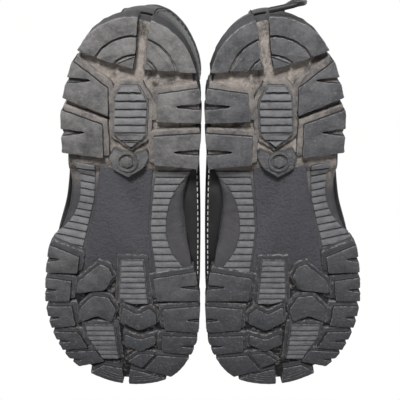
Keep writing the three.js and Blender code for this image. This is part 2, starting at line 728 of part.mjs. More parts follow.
function eyeletMesh(place, slump, finish) {
  const { bore, flange, height, lift } = EYELET;
  const profile = [[bore, 0], [flange, 0], [flange, height], [bore, height], [bore, 0]];
  const geometry = new THREE.LatheGeometry(profile.map((p) => new THREE.Vector2(...p)), 8);
  geometry.deleteAttribute("normal");
  geometry.deleteAttribute("uv");
  const merged = mergeVertices(geometry, 1e-4);
  const mesh = new THREE.Mesh(merged, finish);
  mesh.position.set(...offsetPoint(place, EYELET_DEPTH, lift, slump));
  const normal = skinNormal(place, EYELET_DEPTH, slump);
  mesh.quaternion.setFromUnitVectors(new THREE.Vector3(0, 1, 0), normal);
  return mesh;
}

// ---------------------------------------------------------------- finishes and assembly

function finish(color, roughness, metalness = 0) {
  return new THREE.MeshStandardMaterial({ color, roughness, metalness });
}

const FINISHES = {
  outsole: () => finish(0x525357, 0.7),
  midsole: () => finish(0x2a2a2c, 0.65),
  shank: () => finish(0x9a9da0, 0.35, 1),
  insole_board: () => finish(0x8a7a62, 0.9),
  footbed: () => finish(0x3a3a3c, 0.95),
  welt: () => finish(0x1c1c1e, 0.6),
  leather: () => finish(0x1d1d1f, 0.5),
  stiffener: () => finish(0xb8ab93, 0.8),
  lining: () => finish(0x35363a, 0.95),
  collar_pad: () => finish(0x2b2b2e, 0.6),
  lace: () => finish(0x141416, 0.9),
  eyelet: () => finish(0x55565a, 0.35, 1),
};

// A boot's own x becomes the distance from the middle of the pair, mirrored for the right boot.
function placed(geometry, sign) {
  const position = geometry.attributes.position.clone();
  for (let i = 0; i < position.count; i += 1) {
    position.setX(i, sign * (PAIR_GAP / 2 + position.getX(i)));
  }
  const result = new THREE.BufferGeometry();
  result.setAttribute("position", position);
  const index = [...geometry.index.array];
  result.setIndex(sign < 0 ? flipped(index) : index);
  return result;
}

function boot(side) {
  const sign = side === "left" ? 1 : -1;
  const slump = SLUMP[side];
  const group = new THREE.Group();
  const add = (name, geometry, material) => {
    const mesh = new THREE.Mesh(placed(geometry, sign), material);
    mesh.name = `${side}_${name}`;
    group.add(mesh);
  };
  add("outsole", outsoleGeometry(), FINISHES.outsole());
  add("midsole", midsoleGeometry(), FINISHES.midsole());
  add("shank", shankStrip(0, SHANK.thickness), FINISHES.shank());
  add("welt", weltGeometry(), FINISHES.welt());
  add("insole_board", insoleBoardGeometry(), FINISHES.insole_board());
  add("footbed", footbedGeometry(), FINISHES.footbed());
  Object.entries(upperPanels(slump)).forEach(([name, geometry]) => {
    const stiff = name === "toe_puff" || name === "heel_counter";
    const kind = stiff ? "stiffener" : name === "lining" ? "lining" : "leather";
    add(name, geometry, FINISHES[kind]());
  });
  add("collar_pad", collarGeometry(slump), FINISHES.collar_pad());
  add("tongue", tongueGeometry(slump), FINISHES.leather());
  add("lace_run", laceRunGeometry(slump), FINISHES.lace());
  add("lace_bow", bowGeometry(slump), FINISHES.lace());
  const lateralEnd = side === "left" ? hangingEnd("lateral", slump) : trailingEnd(slump);
  add("lace_end_lateral", cord(lateralEnd, LACE_DIAMETER, side === "left" ? 16 : 40, 8), FINISHES.lace());
  add("lace_end_medial", cord(hangingEnd("medial", slump), LACE_DIAMETER, 16, 8), FINISHES.lace());
  ["lateral", "medial"].forEach((flank) => {
    eyeletPlaces(flank).forEach((place, row) => {
      const mesh = eyeletMesh(place, slump, FINISHES.eyelet());
      mesh.name = `${side}_eyelet_${flank}_${row + 1}`;
      mesh.position.x = sign * (PAIR_GAP / 2 + mesh.position.x);
      mesh.quaternion.y *= sign;
      mesh.quaternion.z *= sign;
      group.add(mesh);
    });
  });
  return group;
}

const boots = new THREE.Group();
boots.add(boot("left"), boot("right"));

export default boots;
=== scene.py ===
import math
import bmesh
import bpy
from mathutils import Matrix, Vector, noise


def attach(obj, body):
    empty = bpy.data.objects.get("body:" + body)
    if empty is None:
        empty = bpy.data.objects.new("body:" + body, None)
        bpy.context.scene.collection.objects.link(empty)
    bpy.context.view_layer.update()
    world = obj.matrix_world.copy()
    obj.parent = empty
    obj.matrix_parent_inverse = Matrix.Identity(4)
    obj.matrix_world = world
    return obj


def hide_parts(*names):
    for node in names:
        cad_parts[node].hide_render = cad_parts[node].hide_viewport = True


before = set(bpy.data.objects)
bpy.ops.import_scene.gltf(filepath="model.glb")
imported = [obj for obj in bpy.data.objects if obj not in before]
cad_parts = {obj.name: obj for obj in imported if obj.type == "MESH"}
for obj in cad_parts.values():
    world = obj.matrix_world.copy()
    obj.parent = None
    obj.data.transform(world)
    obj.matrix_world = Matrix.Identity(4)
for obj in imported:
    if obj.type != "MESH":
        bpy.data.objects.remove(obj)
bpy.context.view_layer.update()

# A pair of lug-soled boots. Everything is laid out in millimetres in a boot's own frame, as in the
# CAD source: x runs from the medial tangent to the lateral side, v from the back of the heel to the
# toe, z up from the ground. Boot.world() turns a point into metres in the row frame.

MM = 0.001
SOLE_LENGTH = 300
PAIR_GAP = 4

# ------------------------------------------------------------ driving dimensions, as in the CAD

HEEL_SEAT, BALL_SEAT = 31, 21
HEEL_SEAT_END, BALL_SEAT_START = 70, 180
TOE_SPRING, SPRING_START = 11, 205
HEEL_LUG_DEPTH, FRONT_LUG_DEPTH, WAIST_FLOOR = 7, 6, 12
MIDSOLE_THICKNESS = 8
LUG_OVERHANG = 2.5
WELT_THICKNESS, WELT_WIDTH, WELT_INSET = 3, 12, 1
BOARD_THICKNESS, FOOTBED_THICKNESS = 2.2, 4.5
FEATHER_GAP = 1.1
LACE_DIAMETER = 3
EYELET_PLACES = [2.75, 3.6, 4.45, 5.3]
EYELET_DEPTH = 0.915
EYELET_LIFT = 4.2
COLLAR_FROM, COLLAR_MIDDLE, COLLAR_HALF = 6.25, 0.9, 0.095
COLLAR_THICKNESS, COLLAR_CENTRE = 11, -1.2
VAMP_END, TOP = 3.3, 0.99
SLUMP = {"left": (7, -1), "right": (-4, 12)}
SLUMP_FROM, SLUMP_FULL = 45, 118

TREAD_EDGE = [
    (60, 300), (90, 284), (108, 256), (115, 212), (108, 163), (94, 127), (90, 90), (86, 50),
    (68, 12), (39, 0), (12, 13), (0, 45), (1, 95), (9, 128), (4, 174), (0, 212), (5, 256), (26, 292),
]
WELT_EDGE = [
    (60, 299), (89, 283), (107, 255), (113, 212), (107, 165), (96, 128), (90, 90), (84, 50),
    (67, 14), (39, 2), (13, 14), (2, 45), (0, 95), (-1, 133), (-1, 172), (0, 212), (6, 256), (27, 290),
]

# Stations around the upper: feather point, rim point, bulge out, rise, reach and drop.
STATIONS = [
    ((58, 291), (56, 190, 71), 6, 28, 48, 5), ((86, 275), (62, 188, 71), 7, 27, 38, 6),
    ((101, 247), (66, 177, 75), 6, 25, 30, 8), ((105, 210), (67, 158, 84), 5, 26, 26, 10),
    ((99, 167), (67, 140, 94), 4, 30, 20, 14), ((89, 130), (66, 121, 106), 3, 34, 15, 18),
    ((83, 92), (66, 100, 117), 5, 34, 9, 26), ((77, 50), (78, 64, 112), 7, 28, 0, 30),
    ((62, 20), (66, 29, 111), 6, 27, 0, 32), ((40, 9), (42, 16, 114), 5, 27, 0, 34),
    ((19, 20), (20, 29, 111), 6, 27, 0, 32), ((8, 50), (9, 64, 112), 7, 28, 0, 30),
    ((6, 92), (28, 100, 117), 5, 34, 10, 26), ((6, 132), (31, 121, 106), 2, 34, 15, 18),
    ((6, 170), (35, 140, 94), 3, 30, 18, 14), ((8, 210), (39, 158, 84), 4, 27, 22, 10),
    ((14, 248), (43, 177, 75), 6, 26, 26, 8), ((31, 277), (50, 188, 71), 7, 27, 38, 6),
]
ROUND = len(STATIONS)
HEEL = ROUND / 2

# Side lugs: start and end at the tread edge, the two inner corners, and how deep the sipe bites.
LATERAL_LUGS = [
    ((26, 49), ((57, 43), (58, 61)), 15), ((57, 86), ((62, 67), (63, 90)), 15),
    ((157, 180), ((86, 167), (89, 181)), 9), ((185, 206), ((94, 188), (97, 206)), 9),
    ((211, 232), ((96, 211), (95, 230)), 9), ((236, 256), ((94, 237), (88, 254)), 10),
    ((259, 276), ((82, 257), (77, 270)), 8),
]
MEDIAL_LUGS = [
    ((43, 66), ((26, 47), (28, 65)), 16), ((73, 98), ((30, 75), (30, 95)), 17),
    ((180, 206), ((34, 186), (32, 206)), 13), ((211, 237), ((28, 214), (27, 235)), 10),
    ((242, 262), ((29, 241), (30, 258)), 10), ((266, 290), ((34, 263), (45, 281)), 0),
]
TIP_LUGS = [((-0.02, -0.95), ((47, 284), (57, 280))), ((0.12, 0.98), ((78, 275), (63, 279)))]
HEEL_BANDS = [(0, 10.6), (11.8, 21.8), (23, None)]
HEEL_CUT = {"lateral": (75, 21), "medial": (0, 34), "middle": (38, 32), "gap": 3}
PLAIN_LUGS = [
    [(63, 184), (66, 176), (72, 173), (89, 188), (91, 199), (80, 197), (70, 196)],
    [(63, 214), (68, 203), (79, 201), (91, 214), (90, 226), (78, 220), (67, 226)],
    [(33, 219), (38, 213), (47, 219), (58, 212), (60, 226), (47, 235), (33, 228)],
    [(34, 240), (47, 245), (58, 239), (59, 251), (47, 258), (35, 250)],
    [(36, 262), (48, 261), (58, 270), (47, 278)],
]
# Ribbed blocks: outline and number of cross ribs.
RIBBED_BLOCKS = [
    ([(38, 41), (49, 41), (54, 48), (56, 74), (45, 83), (34, 75), (32, 52)], 8),
    ([(40, 170), (57, 170), (61, 208), (38, 209)], 8),
    ([(65, 230), (88, 230), (88, 241), (78, 267), (64, 267)], 7),
]
BOSS_PLATE = [(35, 85), (45, 89), (56, 84), (60, 90), (58, 99), (48, 105), (37, 98), (33, 90)]
BOSS_CENTRE = (48, 93)

# Ladder ribs along the waist: from and to (distances from the heel), then the strip's inner and
# outer edges as [x, v] points.
LADDERS = [
    ((104, 186), [(30, 100), (34, 128), (36, 150), (33, 180)],
     [(3, 100), (9, 108), (16, 117), (21, 127), (24, 140), (24.5, 153), (21, 166), (13, 178), (8, 188)]),
    ((98, 172), [(69, 95), (73, 126), (80, 150), (86, 172)],
     [(83, 98), (82, 108), (82, 118), (83.5, 128), (88, 139), (95, 149), (104, 158), (107, 174)]),
]
LADDER_PITCH, LADDER_RIB, LADDER_GAP, LADDER_SLANT = 5.4, 4.3, 0.7, 0.22
WAIST_PANEL = [
    (36, 99), (48, 104), (61, 99), (67, 97), (70, 112), (72, 126), (79, 150), (85, 176),
    (80, 186), (62, 178), (36, 184), (34, 176), (37, 150), (35, 128), (31.5, 102),
]

# The lower step that runs round the foot of a lug.
LEDGE_REACH, LEDGE_DEPTH = 3.4, 3.2
# The heel's bands are parted by shallow grooves. Its channel runs at a slight slant.
BAND_GROOVE = 2.0
CHANNEL_X, CHANNEL_SLANT = 33, 0.12
# Worn outlines wander by noise of this frequency, and walls within this reach are the sole's sides.
WEAR_FREQUENCY, WEAR_LAYERS = 0.35, (1.7, 8.1)
SIDE_REACH = 2.8
# A sipe's place along its lug, the share its mouth takes, the least half mouth and half tip.
SIPE_PLACE, SIPE_SHARE, SIPE_MOUTH, SIPE_TIP = 0.52, 0.075, 0.4, 0.75
SIPE_CLEARANCE = 0.8
# Thin ridges on the toe-tip lugs: distances from the edge, width and height either side.
TIP_RIDGES, TIP_RIDGE_WIDTH, TIP_RIDGE_RISE = (4.5, 7.5, 10.5), 1.1, 0.5
# How deep a surface lies, stored with each point: 0 on a worn face, 1 at the bottom of a groove.
STEP_MARK, PANEL_MARK, GROOVE_MARK, RIB_MARK, OUTSIDE_MARK = 0.6, 0.3, 1.0, -0.2, 0.25

# ------------------------------------------------------------ curves and heights


def mix(a, b, t):
    return a + (b - a) * t


def smooth(t):
    t = min(1, max(0, t))
    return t * t * (3 - 2 * t)


def around(values, place):
    """A smooth closed curve through evenly numbered values, read at any place between them."""
    first = math.floor(place)
    t = place - first
    a, b, c, d = (values[(first + k) % len(values)] for k in (-1, 0, 1, 2))
    cubic = 3 * b - 3 * c + d - a
    return 0.5 * (2 * b + (c - a) * t + (2 * a - 5 * b + 4 * c - d) * t * t + cubic * t ** 3)


def edge_point(edge, place, inset):
    xs, vs = [p[0] for p in edge], [p[1] for p in edge]
    xa, va = around(xs, place - 0.02), around(vs, place - 0.02)
    xb, vb = around(xs, place + 0.02), around(vs, place + 0.02)
    length = math.hypot(xb - xa, vb - va)
    x, v = around(xs, place), around(vs, place)
    return (x + (vb - va) / length * inset, v - (xb - xa) / length * inset)


def edge_loop(edge, inset, steps):
    return [edge_point(edge, i * len(edge) / steps, inset) for i in range(steps)]


def crossings(outline, v):
    found = []
    for (xa, va), (xb, vb) in zip(outline, outline[1:] + outline[:1]):
        if (va < v) != (vb < v):
            found.append(mix(xa, xb, (v - va) / (vb - va)))
    return min(found), max(found)


def to_y(v):
    return SOLE_LENGTH / 2 - v


def toe_lift(v):
    return TOE_SPRING * (max(0, v - SPRING_START) / (SOLE_LENGTH - SPRING_START)) ** 2


def seat_height(v):
    slope = smooth((v - HEEL_SEAT_END) / (BALL_SEAT_START - HEEL_SEAT_END))
    return mix(HEEL_SEAT, BALL_SEAT, slope) + toe_lift(v)


def sole_floor(v):
    waist = smooth((v - 98) / 8) * (1 - smooth((v - 135) / 45))
    ground = mix(HEEL_LUG_DEPTH, FRONT_LUG_DEPTH, smooth((v - 110) / 60))
    return mix(ground, WAIST_FLOOR, waist) + toe_lift(v)


# ------------------------------------------------------------ mesh building

# A leather panel's rounded edges: how far they reach along its height and along its length, and the
# share of the thickness that is left at its two ends.
ROUND_OVER, END_TUCK, END_SHARE = 0.006, 0.012, 0.45


class Sheaf:
    """Vertices and faces of one piece, in a boot's own frame, with one number per vertex."""

    def __init__(self):
        self.points, self.faces, self.marks, self.slots = [], [], [], []

    def add(self, points, faces, marks=None, slot=0):
        base = len(self.points)
        self.points += [tuple(p) for p in points]
        self.faces += [[base + i for i in face] for face in faces]
        self.slots += [slot] * len(faces)
        self.marks += marks if marks is not None else [0.0] * len(points)

    def rings(self, rows, looped=False, marks=None, slot=0):
        """A closed body through rings of points; a body that isn't looped gets end caps."""
        size, count = len(rows[0]), len(rows)
        faces = []
        for i in range(count if looped else count - 1):
            a, b = i * size, (i + 1) % count * size
            for j in range(size):
                k = (j + 1) % size
                faces.append((a + j, a + k, b + k, b + j))
        if not looped:
            last = (count - 1) * size
            half = size // 2
            for j in range(half - 1):
                corners = (j, j + 1, size - 2 - j, size - 1 - j)
                faces.append(tuple(reversed(corners)))
                faces.append(tuple(last + c for c in corners))
        self.add([p for row in rows for p in row], faces, marks, slot)


class Boot:
    def __init__(self, side):
        self.side = side
        self.sign = 1 if side == "left" else -1
        self.body = f"{side}_boot"
        self.medial, self.forward = SLUMP[side]

    def world(self, p):
        return (self.sign * (PAIR_GAP / 2 + p[0]) * MM, p[1] * MM, p[2] * MM)

    def piece(self, name, sheaf, materials, replaces=(), angle=40, body=None):
        """Makes one object from a sheaf, facing outwards, and lets it ride on a body."""
        mesh = bpy.data.meshes.new(f"{self.side}_{name}")
        mesh.from_pydata([self.world(p) for p in sheaf.points], [], sheaf.faces)
        mesh.validate()
        materials = materials if isinstance(materials, list) else [materials]
        for material in materials:
            mesh.materials.append(material)
        mesh.polygons.foreach_set("material_index", sheaf.slots)
        layer = mesh.attributes.new("mark", "FLOAT", "POINT")
        layer.data.foreach_set("value", sheaf.marks)
        face_outwards(mesh)
        mesh.polygons.foreach_set("use_smooth", [True] * len(mesh.polygons))
        mesh.set_sharp_from_angle(angle=math.radians(angle))
        obj = bpy.data.objects.new(f"{self.side}_{name}", mesh)
        bpy.context.scene.collection.objects.link(obj)
        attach(obj, body or self.body)
        if replaces:
            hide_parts(*[f"{self.side}_{node}" for node in replaces])
        return obj

    # The upper's skin

    def skin(self, place, s):
        foot_v = around(FOOT_V, place)
        foot = Vector((around(FOOT_X, place), to_y(foot_v), 0))
        foot.z = seat_height(foot_v) + WELT_THICKNESS + FEATHER_GAP
        rim = Vector((around(RIM_X, place), to_y(around(RIM_V, place)), around(RIM_Z, place)))
        dx = around(FOOT_X, place + 0.05) - around(FOOT_X, place - 0.05)
        dy = around(FOOT_V, place - 0.05) - around(FOOT_V, place + 0.05)
        outward = Vector((dy, -dx, 0)).normalized()
        spread = Vector((foot.x - rim.x, foot.y - rim.y, 0)).normalized()
        low = foot + outward * around(OUT, place) + Vector((0, 0, around(RISE, place)))
        high = rim + spread * around(REACH, place) - Vector((0, 0, around(DROP, place)))
        u = 1 - s
        point = foot * u ** 3 + low * (3 * u * u * s) + high * (3 * u * s * s) + rim * s ** 3
        lean = smooth((point.z - SLUMP_FROM) / (SLUMP_FULL - SLUMP_FROM))
        return point - Vector((self.medial * lean, self.forward * lean, 0))

    def normal(self, place, s):
        along = self.skin(place + 0.04, s) - self.skin(place - 0.04, s)
        upward = self.skin(place, s + 0.02) - self.skin(place, s - 0.02)
        return along.cross(upward).normalized()

    def off(self, place, s, offset):
        return self.skin(place, s) + self.normal(place, s) * offset

    def panel(self, start, end, low, high, faces, steps, rises, looped=False, wrinkle=0.0):
        """A panel of the upper with rounded edges: a stretch around the boot between two heights."""
        sheaf = Sheaf()
        rows, marks = [], []
        inner, outer = faces
        middle = (inner + outer) / 2
        places = [mix(start, end, i / steps) for i in range(steps if looped else steps + 1)]
        squeeze = [1.0] * len(places)
        if not looped:
            tuck = END_TUCK if end > start else -END_TUCK
            places = [start - tuck] + places + [end + tuck]
            squeeze = [END_SHARE] + squeeze + [END_SHARE]
        for place, thin in zip(places, squeeze):
            bottom, top = low(place), high(place)
            levels = [mix(bottom, top, j / rises) for j in range(rises + 1)]
            out_side, in_side = [], []
            for s in levels:
                base, normal = self.skin(place, s), self.normal(place, s)
                fold = 0.0
                if wrinkle:
                    spot = base * 0.045
                    fold = wrinkle * noise.noise(spot) + 0.35 * wrinkle * noise.noise(spot * 3.1)
                out_side.append(base + normal * (mix(middle, outer, thin) + fold))
                in_side.append(base + normal * (mix(middle, inner, thin) + fold))
            lip = self.off(place, top + ROUND_OVER, middle)
            foot = self.off(place, max(0, bottom - ROUND_OVER), middle)
            rows.append(out_side + [lip] + in_side[::-1] + [foot])
        sheaf.rings(rows, looped)
        return sheaf


def face_outwards(mesh):
    """Turns all faces to point out of the closed body they bound."""
    bm = bmesh.new()
    bm.from_mesh(mesh)
    bmesh.ops.recalc_face_normals(bm, faces=bm.faces[:])
    bm.to_mesh(mesh)
    bm.free()


TREAD_LOOP = edge_loop(TREAD_EDGE, 0, 240)
FOOT_X, FOOT_V = [s[0][0] for s in STATIONS], [s[0][1] for s in STATIONS]
RIM_X, RIM_V, RIM_Z = ([s[1][axis] for s in STATIONS] for axis in range(3))
OUT, RISE, REACH, DROP = ([s[k] for s in STATIONS] for k in (2, 3, 4, 5))


def shell_top(place):
    """The shell's upper edge: the throat edge in front, the foot of the collar pad behind."""
    from_heel = abs(place - HEEL)
    front = HEEL - COLLAR_FROM
    return mix(COLLAR_MIDDLE - COLLAR_HALF + 0.015, TOP, smooth((from_heel - front - 0.06) / 0.4))


# ------------------------------------------------------------ sole outlines


def rounded(outline, radius):
    """The outline with each corner replaced by three points."""
    result = []
    count = len(outline)
    for i, corner in enumerate(outline):
        p = Vector(corner)
        a, b = Vector(outline[i - 1]), Vector(outline[(i + 1) % count])
        ra = min(radius, 0.4 * (a - p).length)
        rb = min(radius, 0.4 * (b - p).length)
        before = p + (a - p).normalized() * ra
        after = p + (b - p).normalized() * rb
        result += [before, (before + after) / 4 + p / 2, after]
    return result


def inset(outline, distance):
    """The outline moved inwards by a distance."""
    count = len(outline)
    area = sum(outline[i - 1].x * outline[i].y - outline[i].x * outline[i - 1].y for i in range(count))
    turn = 1 if area > 0 else -1
    moved = []
    for i, p in enumerate(outline):
        a = (p - outline[i - 1]).normalized()
        b = (outline[(i + 1) % count] - p).normalized()
        normal = Vector((-a.y - b.y, a.x + b.x)) * turn
        scale = distance / max(0.5, 1 + a.dot(b))
        moved.append(p + normal * scale)
    return moved


def divided(outline, longest):
    """The outline with points added until no edge is longer than a length."""
    result = []
    for i, a in enumerate(outline):
        b = outline[(i + 1) % len(outline)]
        count = max(1, math.ceil((b - a).length / longest))
        result += [a.lerp(b, k / count) for k in range(count)]
    return result


def beside_edge(p):
    """Whether a plan point lies on the outside of the tread."""
    return min((p.x - x) ** 2 + (p.y - v) ** 2 for x, v in TREAD_LOOP) < SIDE_REACH ** 2


def add_lug(sheaf, outline, top, root, bevel=0.7, draft=0.5, corner=1.0, wear=0.4, mark=0.0):
    """A moulded block: a worn face, a rounded edge, drafted walls and a root inside the slab."""
    base = divided(rounded(outline, corner), 2.6)

    def wander(p, layer):
        return wear * noise.noise((p.x * WEAR_FREQUENCY, p.y * WEAR_FREQUENCY, layer))

    worn = [Vector((p.x + wander(p, WEAR_LAYERS[0]), p.y + wander(p, WEAR_LAYERS[1]))) for p in base]
    count = len(worn)
    rings = [
        (inset(worn, bevel), 0.0, 0.0), (inset(worn, 0.3 * bevel), 0.3 * bevel, 0.05),
        (worn, bevel, 0.15), (inset(worn, -draft), None, 1.0),
    ]
    points, marks = [], []
    for ring, rise, depth_mark in rings:
        for p in ring:
            z = root(p.y) if rise is None else top(p.y) + rise
            points.append((p.x, to_y(p.y), z))
            outside = rise is None and beside_edge(p)
            marks.append(OUTSIDE_MARK if outside else mark + (1 - mark) * depth_mark)
    faces = [tuple(range(count)), tuple(range(4 * count - 1, 3 * count - 1, -1))]
    for level in range(3):
        for i in range(count):
            j = (i + 1) % count
            a, b = level * count, (level + 1) * count
            faces.append((a + j, a + i, b + i, b + j))
    sheaf.add(points, faces, marks)


def edge_stretch(side, start, end, count, bite):
    """Points of the tread edge between two distances from the heel, with a V-shaped sipe."""
    def on_edge(v):
        return crossings(TREAD_LOOP, v)[1 if side == "lateral" else 0]

    points = [(on_edge(mix(start, end, i / (count - 1))), mix(start, end, i / (count - 1)))
              for i in range(count)]
    if bite:
        inward = -1 if side == "lateral" else 1
        middle, mouth = mix(start, end, SIPE_PLACE), SIPE_SHARE * (end - start) + SIPE_MOUTH
        near = on_edge(middle)
        notch = [
            (on_edge(middle - mouth), middle - mouth), (near + inward * (bite - 1), middle - SIPE_TIP),
            (near + inward * bite, middle), (near + inward * (bite - 1), middle + SIPE_TIP),
            (on_edge(middle + mouth), middle + mouth),
        ]
        before = [p for p in points if p[1] < middle - mouth - SIPE_CLEARANCE]
        after = [p for p in points if p[1] > middle + mouth + SIPE_CLEARANCE]
        points = before + notch + after
    return points


def heel_band(side, outer, inner):
    """One half of a heel band, between the heel's channel and the cut that ends the band."""
    end, (mx, mv), gap = HEEL_CUT[side], HEEL_CUT["middle"], HEEL_CUT["gap"]
    sign = 1 if side == "lateral" else -1

    def arc(depth):
        kept = []
        for x, v in edge_loop(TREAD_EDGE, depth, 360)[132:230]:
            cut_v = mix(mv, end[1], (x - mx) / (end[0] - mx))
            if sign * (x - (CHANNEL_X + CHANNEL_SLANT * v + sign * gap)) > 0 and v < cut_v:
                kept.append((x, v))
        kept.sort(key=lambda p: sign * p[0])
        steps = 9
        return [kept[round(i * (len(kept) - 1) / steps)] for i in range(steps + 1)]

    corner = [(mx + sign * gap, mv - 1)]
    return arc(outer) + (corner if inner is None else arc(inner)[::-1])


def along(points, v):
    """The x of an open line of [x, v] points at distance v."""
    for (xa, va), (xb, vb) in zip(points, points[1:]):
        if v <= vb:
            return mix(xa, xb, max(0, (v - va) / (vb - va)))
    return points[-1][0]


# ------------------------------------------------------------ sole pieces


def add_slab(sheaf, outline, lower, upper, rows, columns, edge=lambda v: 2.0, mark=0.0, dish=0.0):
    """A plate between two heights with rounded long edges."""
    distances = [p[1] for p in outline]
    start, end = min(distances) + 0.15, max(distances) - 0.15
    rings, marks = [], []
    for i in range(rows + 1):
        v = mix(start, end, (1 - math.cos(math.pi * i / rows)) / 2)
        xa, xb = crossings(outline, v)
        half, middle = (xb - xa) / 2, (xa + xb) / 2
        from_end = min(v - start, end - v)
        lip_radius = edge(v)
        low, high, low_marks = [], [], []
        for j in range(columns + 1):
            sine = math.sin(math.pi * (j / columns - 0.5))
            x = middle + half * sine
            from_edge = min(half * (1 - abs(sine)), from_end)
            short = max(0, lip_radius - from_edge)
            lip = lip_radius - math.sqrt(max(0, lip_radius ** 2 - short ** 2))
            rise = dish * smooth(1 - from_edge / 14)
            low.append((x, to_y(v), min(lower(v) + lip, upper(v) - 0.6)))
            low_marks.append(mark if from_edge > 0.8 else min(mark, OUTSIDE_MARK))
            high.append((x, to_y(v), max(upper(v) + rise - lip, lower(v) + 0.6)))
        rings.append(low + high[::-1])
        marks += low_marks + [min(mark, OUTSIDE_MARK)] * (columns + 1)
    sheaf.rings(rings, marks=marks)


def grown(outline, distance):
    """The outline moved outwards, whichever way round it runs: the wider of the two offsets."""
    points = [Vector(p) for p in outline]

    def width(moved):
        return max(p.x for p in moved) - min(p.x for p in moved)

    return max((inset(points, -distance), inset(points, distance)), key=width)


def make_outsole(boot, rubber):
    sheaf = Sheaf()
    slab_edge = edge_loop(TREAD_EDGE, LUG_OVERHANG, 240)
    add_slab(sheaf, slab_edge, sole_floor, lambda v: seat_height(v) - MIDSOLE_THICKNESS + 0.2, 120, 34,
             lambda v: 1.2 + 4.5 * smooth((v - 100) / 14) * (1 - smooth((v - 158) / 16)), GROOVE_MARK)

    def wall(v):
        return max(sole_floor(v) + 2.5, seat_height(v) - MIDSOLE_THICKNESS - 3)

    def root(v):
        return sole_floor(v) + 1.5

    def ledge(v):
        return toe_lift(v) + LEDGE_DEPTH

    for side, lugs in (("lateral", LATERAL_LUGS), ("medial", MEDIAL_LUGS)):
        for (start, end), inner, bite in lugs:
            outline = edge_stretch(side, start, end, 8, bite) + [inner[1], inner[0]]
            add_lug(sheaf, outline, toe_lift, wall, bevel=0.6, draft=0.2, corner=0.9)
            reach = -LEDGE_REACH if side == "lateral" else LEDGE_REACH
            (xa, va), (xb, vb) = inner
            step = edge_stretch(side, start - 0.8 * LEDGE_REACH, end - 0.5, 6, 0)
            step = [(x + 0.25 * reach, v) for x, v in step]
            step += [(xb + reach, vb - 0.5), (xa + reach, va - 0.7 * LEDGE_REACH)]
            add_lug(sheaf, step, ledge, wall, corner=1.2, wear=0.9, mark=STEP_MARK)
    for (start, end), inner in TIP_LUGS:
        outer = [edge_point(TREAD_EDGE, mix(start, end, i / 7), 0) for i in range(8)]
        add_lug(sheaf, outer + list(inner), toe_lift, wall, corner=1.3)
        for depth in TIP_RIDGES:
            ends = (mix(start, end, 0.06 * depth / 4), mix(start, end, 1 - 0.05 * depth / 4))
            ridge = [edge_point(TREAD_EDGE, mix(*ends, i / 6), depth) for i in range(7)]
            far = depth + TIP_RIDGE_WIDTH
            ridge += [edge_point(TREAD_EDGE, mix(*ends, 1 - i / 6), far) for i in range(7)]
            add_lug(sheaf, ridge, lambda v: toe_lift(v) - TIP_RIDGE_RISE,
                    lambda v: toe_lift(v) + TIP_RIDGE_RISE, 0.3, 0.2, 0.3, 0.1)
    for outer, inner in HEEL_BANDS:
        for side in ("lateral", "medial"):
            outline = heel_band(side, outer, inner)
            add_lug(sheaf, outline, toe_lift, wall, bevel=0.7, draft=0.1, corner=0.8)
    for side in ("lateral", "medial"):
        web = heel_band(side, 1.2, None)
        add_lug(sheaf, web, lambda v: BAND_GROOVE, wall, 0.5, 0.1, 0.8, mark=STEP_MARK)
    for outline in PLAIN_LUGS:
        add_lug(sheaf, outline, toe_lift, root, corner=1.6)
        add_lug(sheaf, grown(outline, 1.9), ledge, root, corner=1.2, wear=1.1, mark=STEP_MARK)
    for outline, count in RIBBED_BLOCKS:
        add_ribbed_block(sheaf, outline, count, root)
    add_boss(sheaf)
    for (start, end), inner_edge, outer_edge in LADDERS:
        add_ladder(sheaf, start, end, inner_edge, outer_edge)
    add_lug(sheaf, WAIST_PANEL, lambda v: sole_floor(v) - 0.9, lambda v: sole_floor(v) + 1, 0.5, 0.2, 2,
            0.1, PANEL_MARK)
    return boot.piece("rubber_sole", sheaf, rubber, ["outsole"], angle=32)


def add_ribbed_block(sheaf, outline, count, root):
    """A low block that carries cross ribs."""
    frame_outline = grown(outline, 2.6)
    add_lug(sheaf, frame_outline, lambda v: toe_lift(v) + 3.4, root, corner=1.5, wear=1.0,
            mark=STEP_MARK)
    add_lug(sheaf, outline, lambda v: toe_lift(v) + 1.7, root, bevel=0.5, corner=1.5)
    start = min(p[1] for p in outline)
    end = max(p[1] for p in outline)
    pitch = (end - start) / count
    for i in range(count):
        a = start + (i + 0.11) * pitch
        b = start + (i + 0.89) * pitch
        (xa, xb), (xc, xd) = crossings(outline, a + 0.05), crossings(outline, b - 0.05)
        rib = [(xa + 0.9, a), (xb - 0.9, a), (xd - 0.9, b), (xc + 0.9, b)]
        add_lug(sheaf, rib, lambda v: toe_lift(v) + 0.2, lambda v: toe_lift(v) + 2.6,
                0.5, 0.3, 0.6, mark=RIB_MARK)


def add_boss(sheaf):
    """The shield-shaped plate at the heel breast with its ring and hexagon stud."""
    cx, cv = BOSS_CENTRE
    add_lug(sheaf, BOSS_PLATE, lambda v: 2.6, lambda v: WAIST_FLOOR + 1, corner=1.2, mark=0.2)

    def circle(radius, sides, turn=0.0):
        angles = [2 * math.pi * (i + turn) / sides for i in range(sides)]
        return [(cx + radius * math.cos(a), cv + radius * math.sin(a)) for a in angles]

    rows = []
    for outer, inner in zip(circle(7.2, 32), circle(5.3, 32)):
        section = [(outer, 4), (outer, 1.1), (mix_point(outer, inner, 0.25), 0.7),
                   (mix_point(outer, inner, 0.75), 0.7), (inner, 1.1), (inner, 4)]
        rows.append([(x, to_y(v), z) for (x, v), z in section])
    sheaf.rings(rows, looped=True)
    add_lug(sheaf, circle(4.1, 6, 0.5), lambda v: 0.4, lambda v: 4, 0.5, 0.2, 0.5, 0)


def mix_point(a, b, t):
    return tuple(mix(p, q, t) for p, q in zip(a, b))


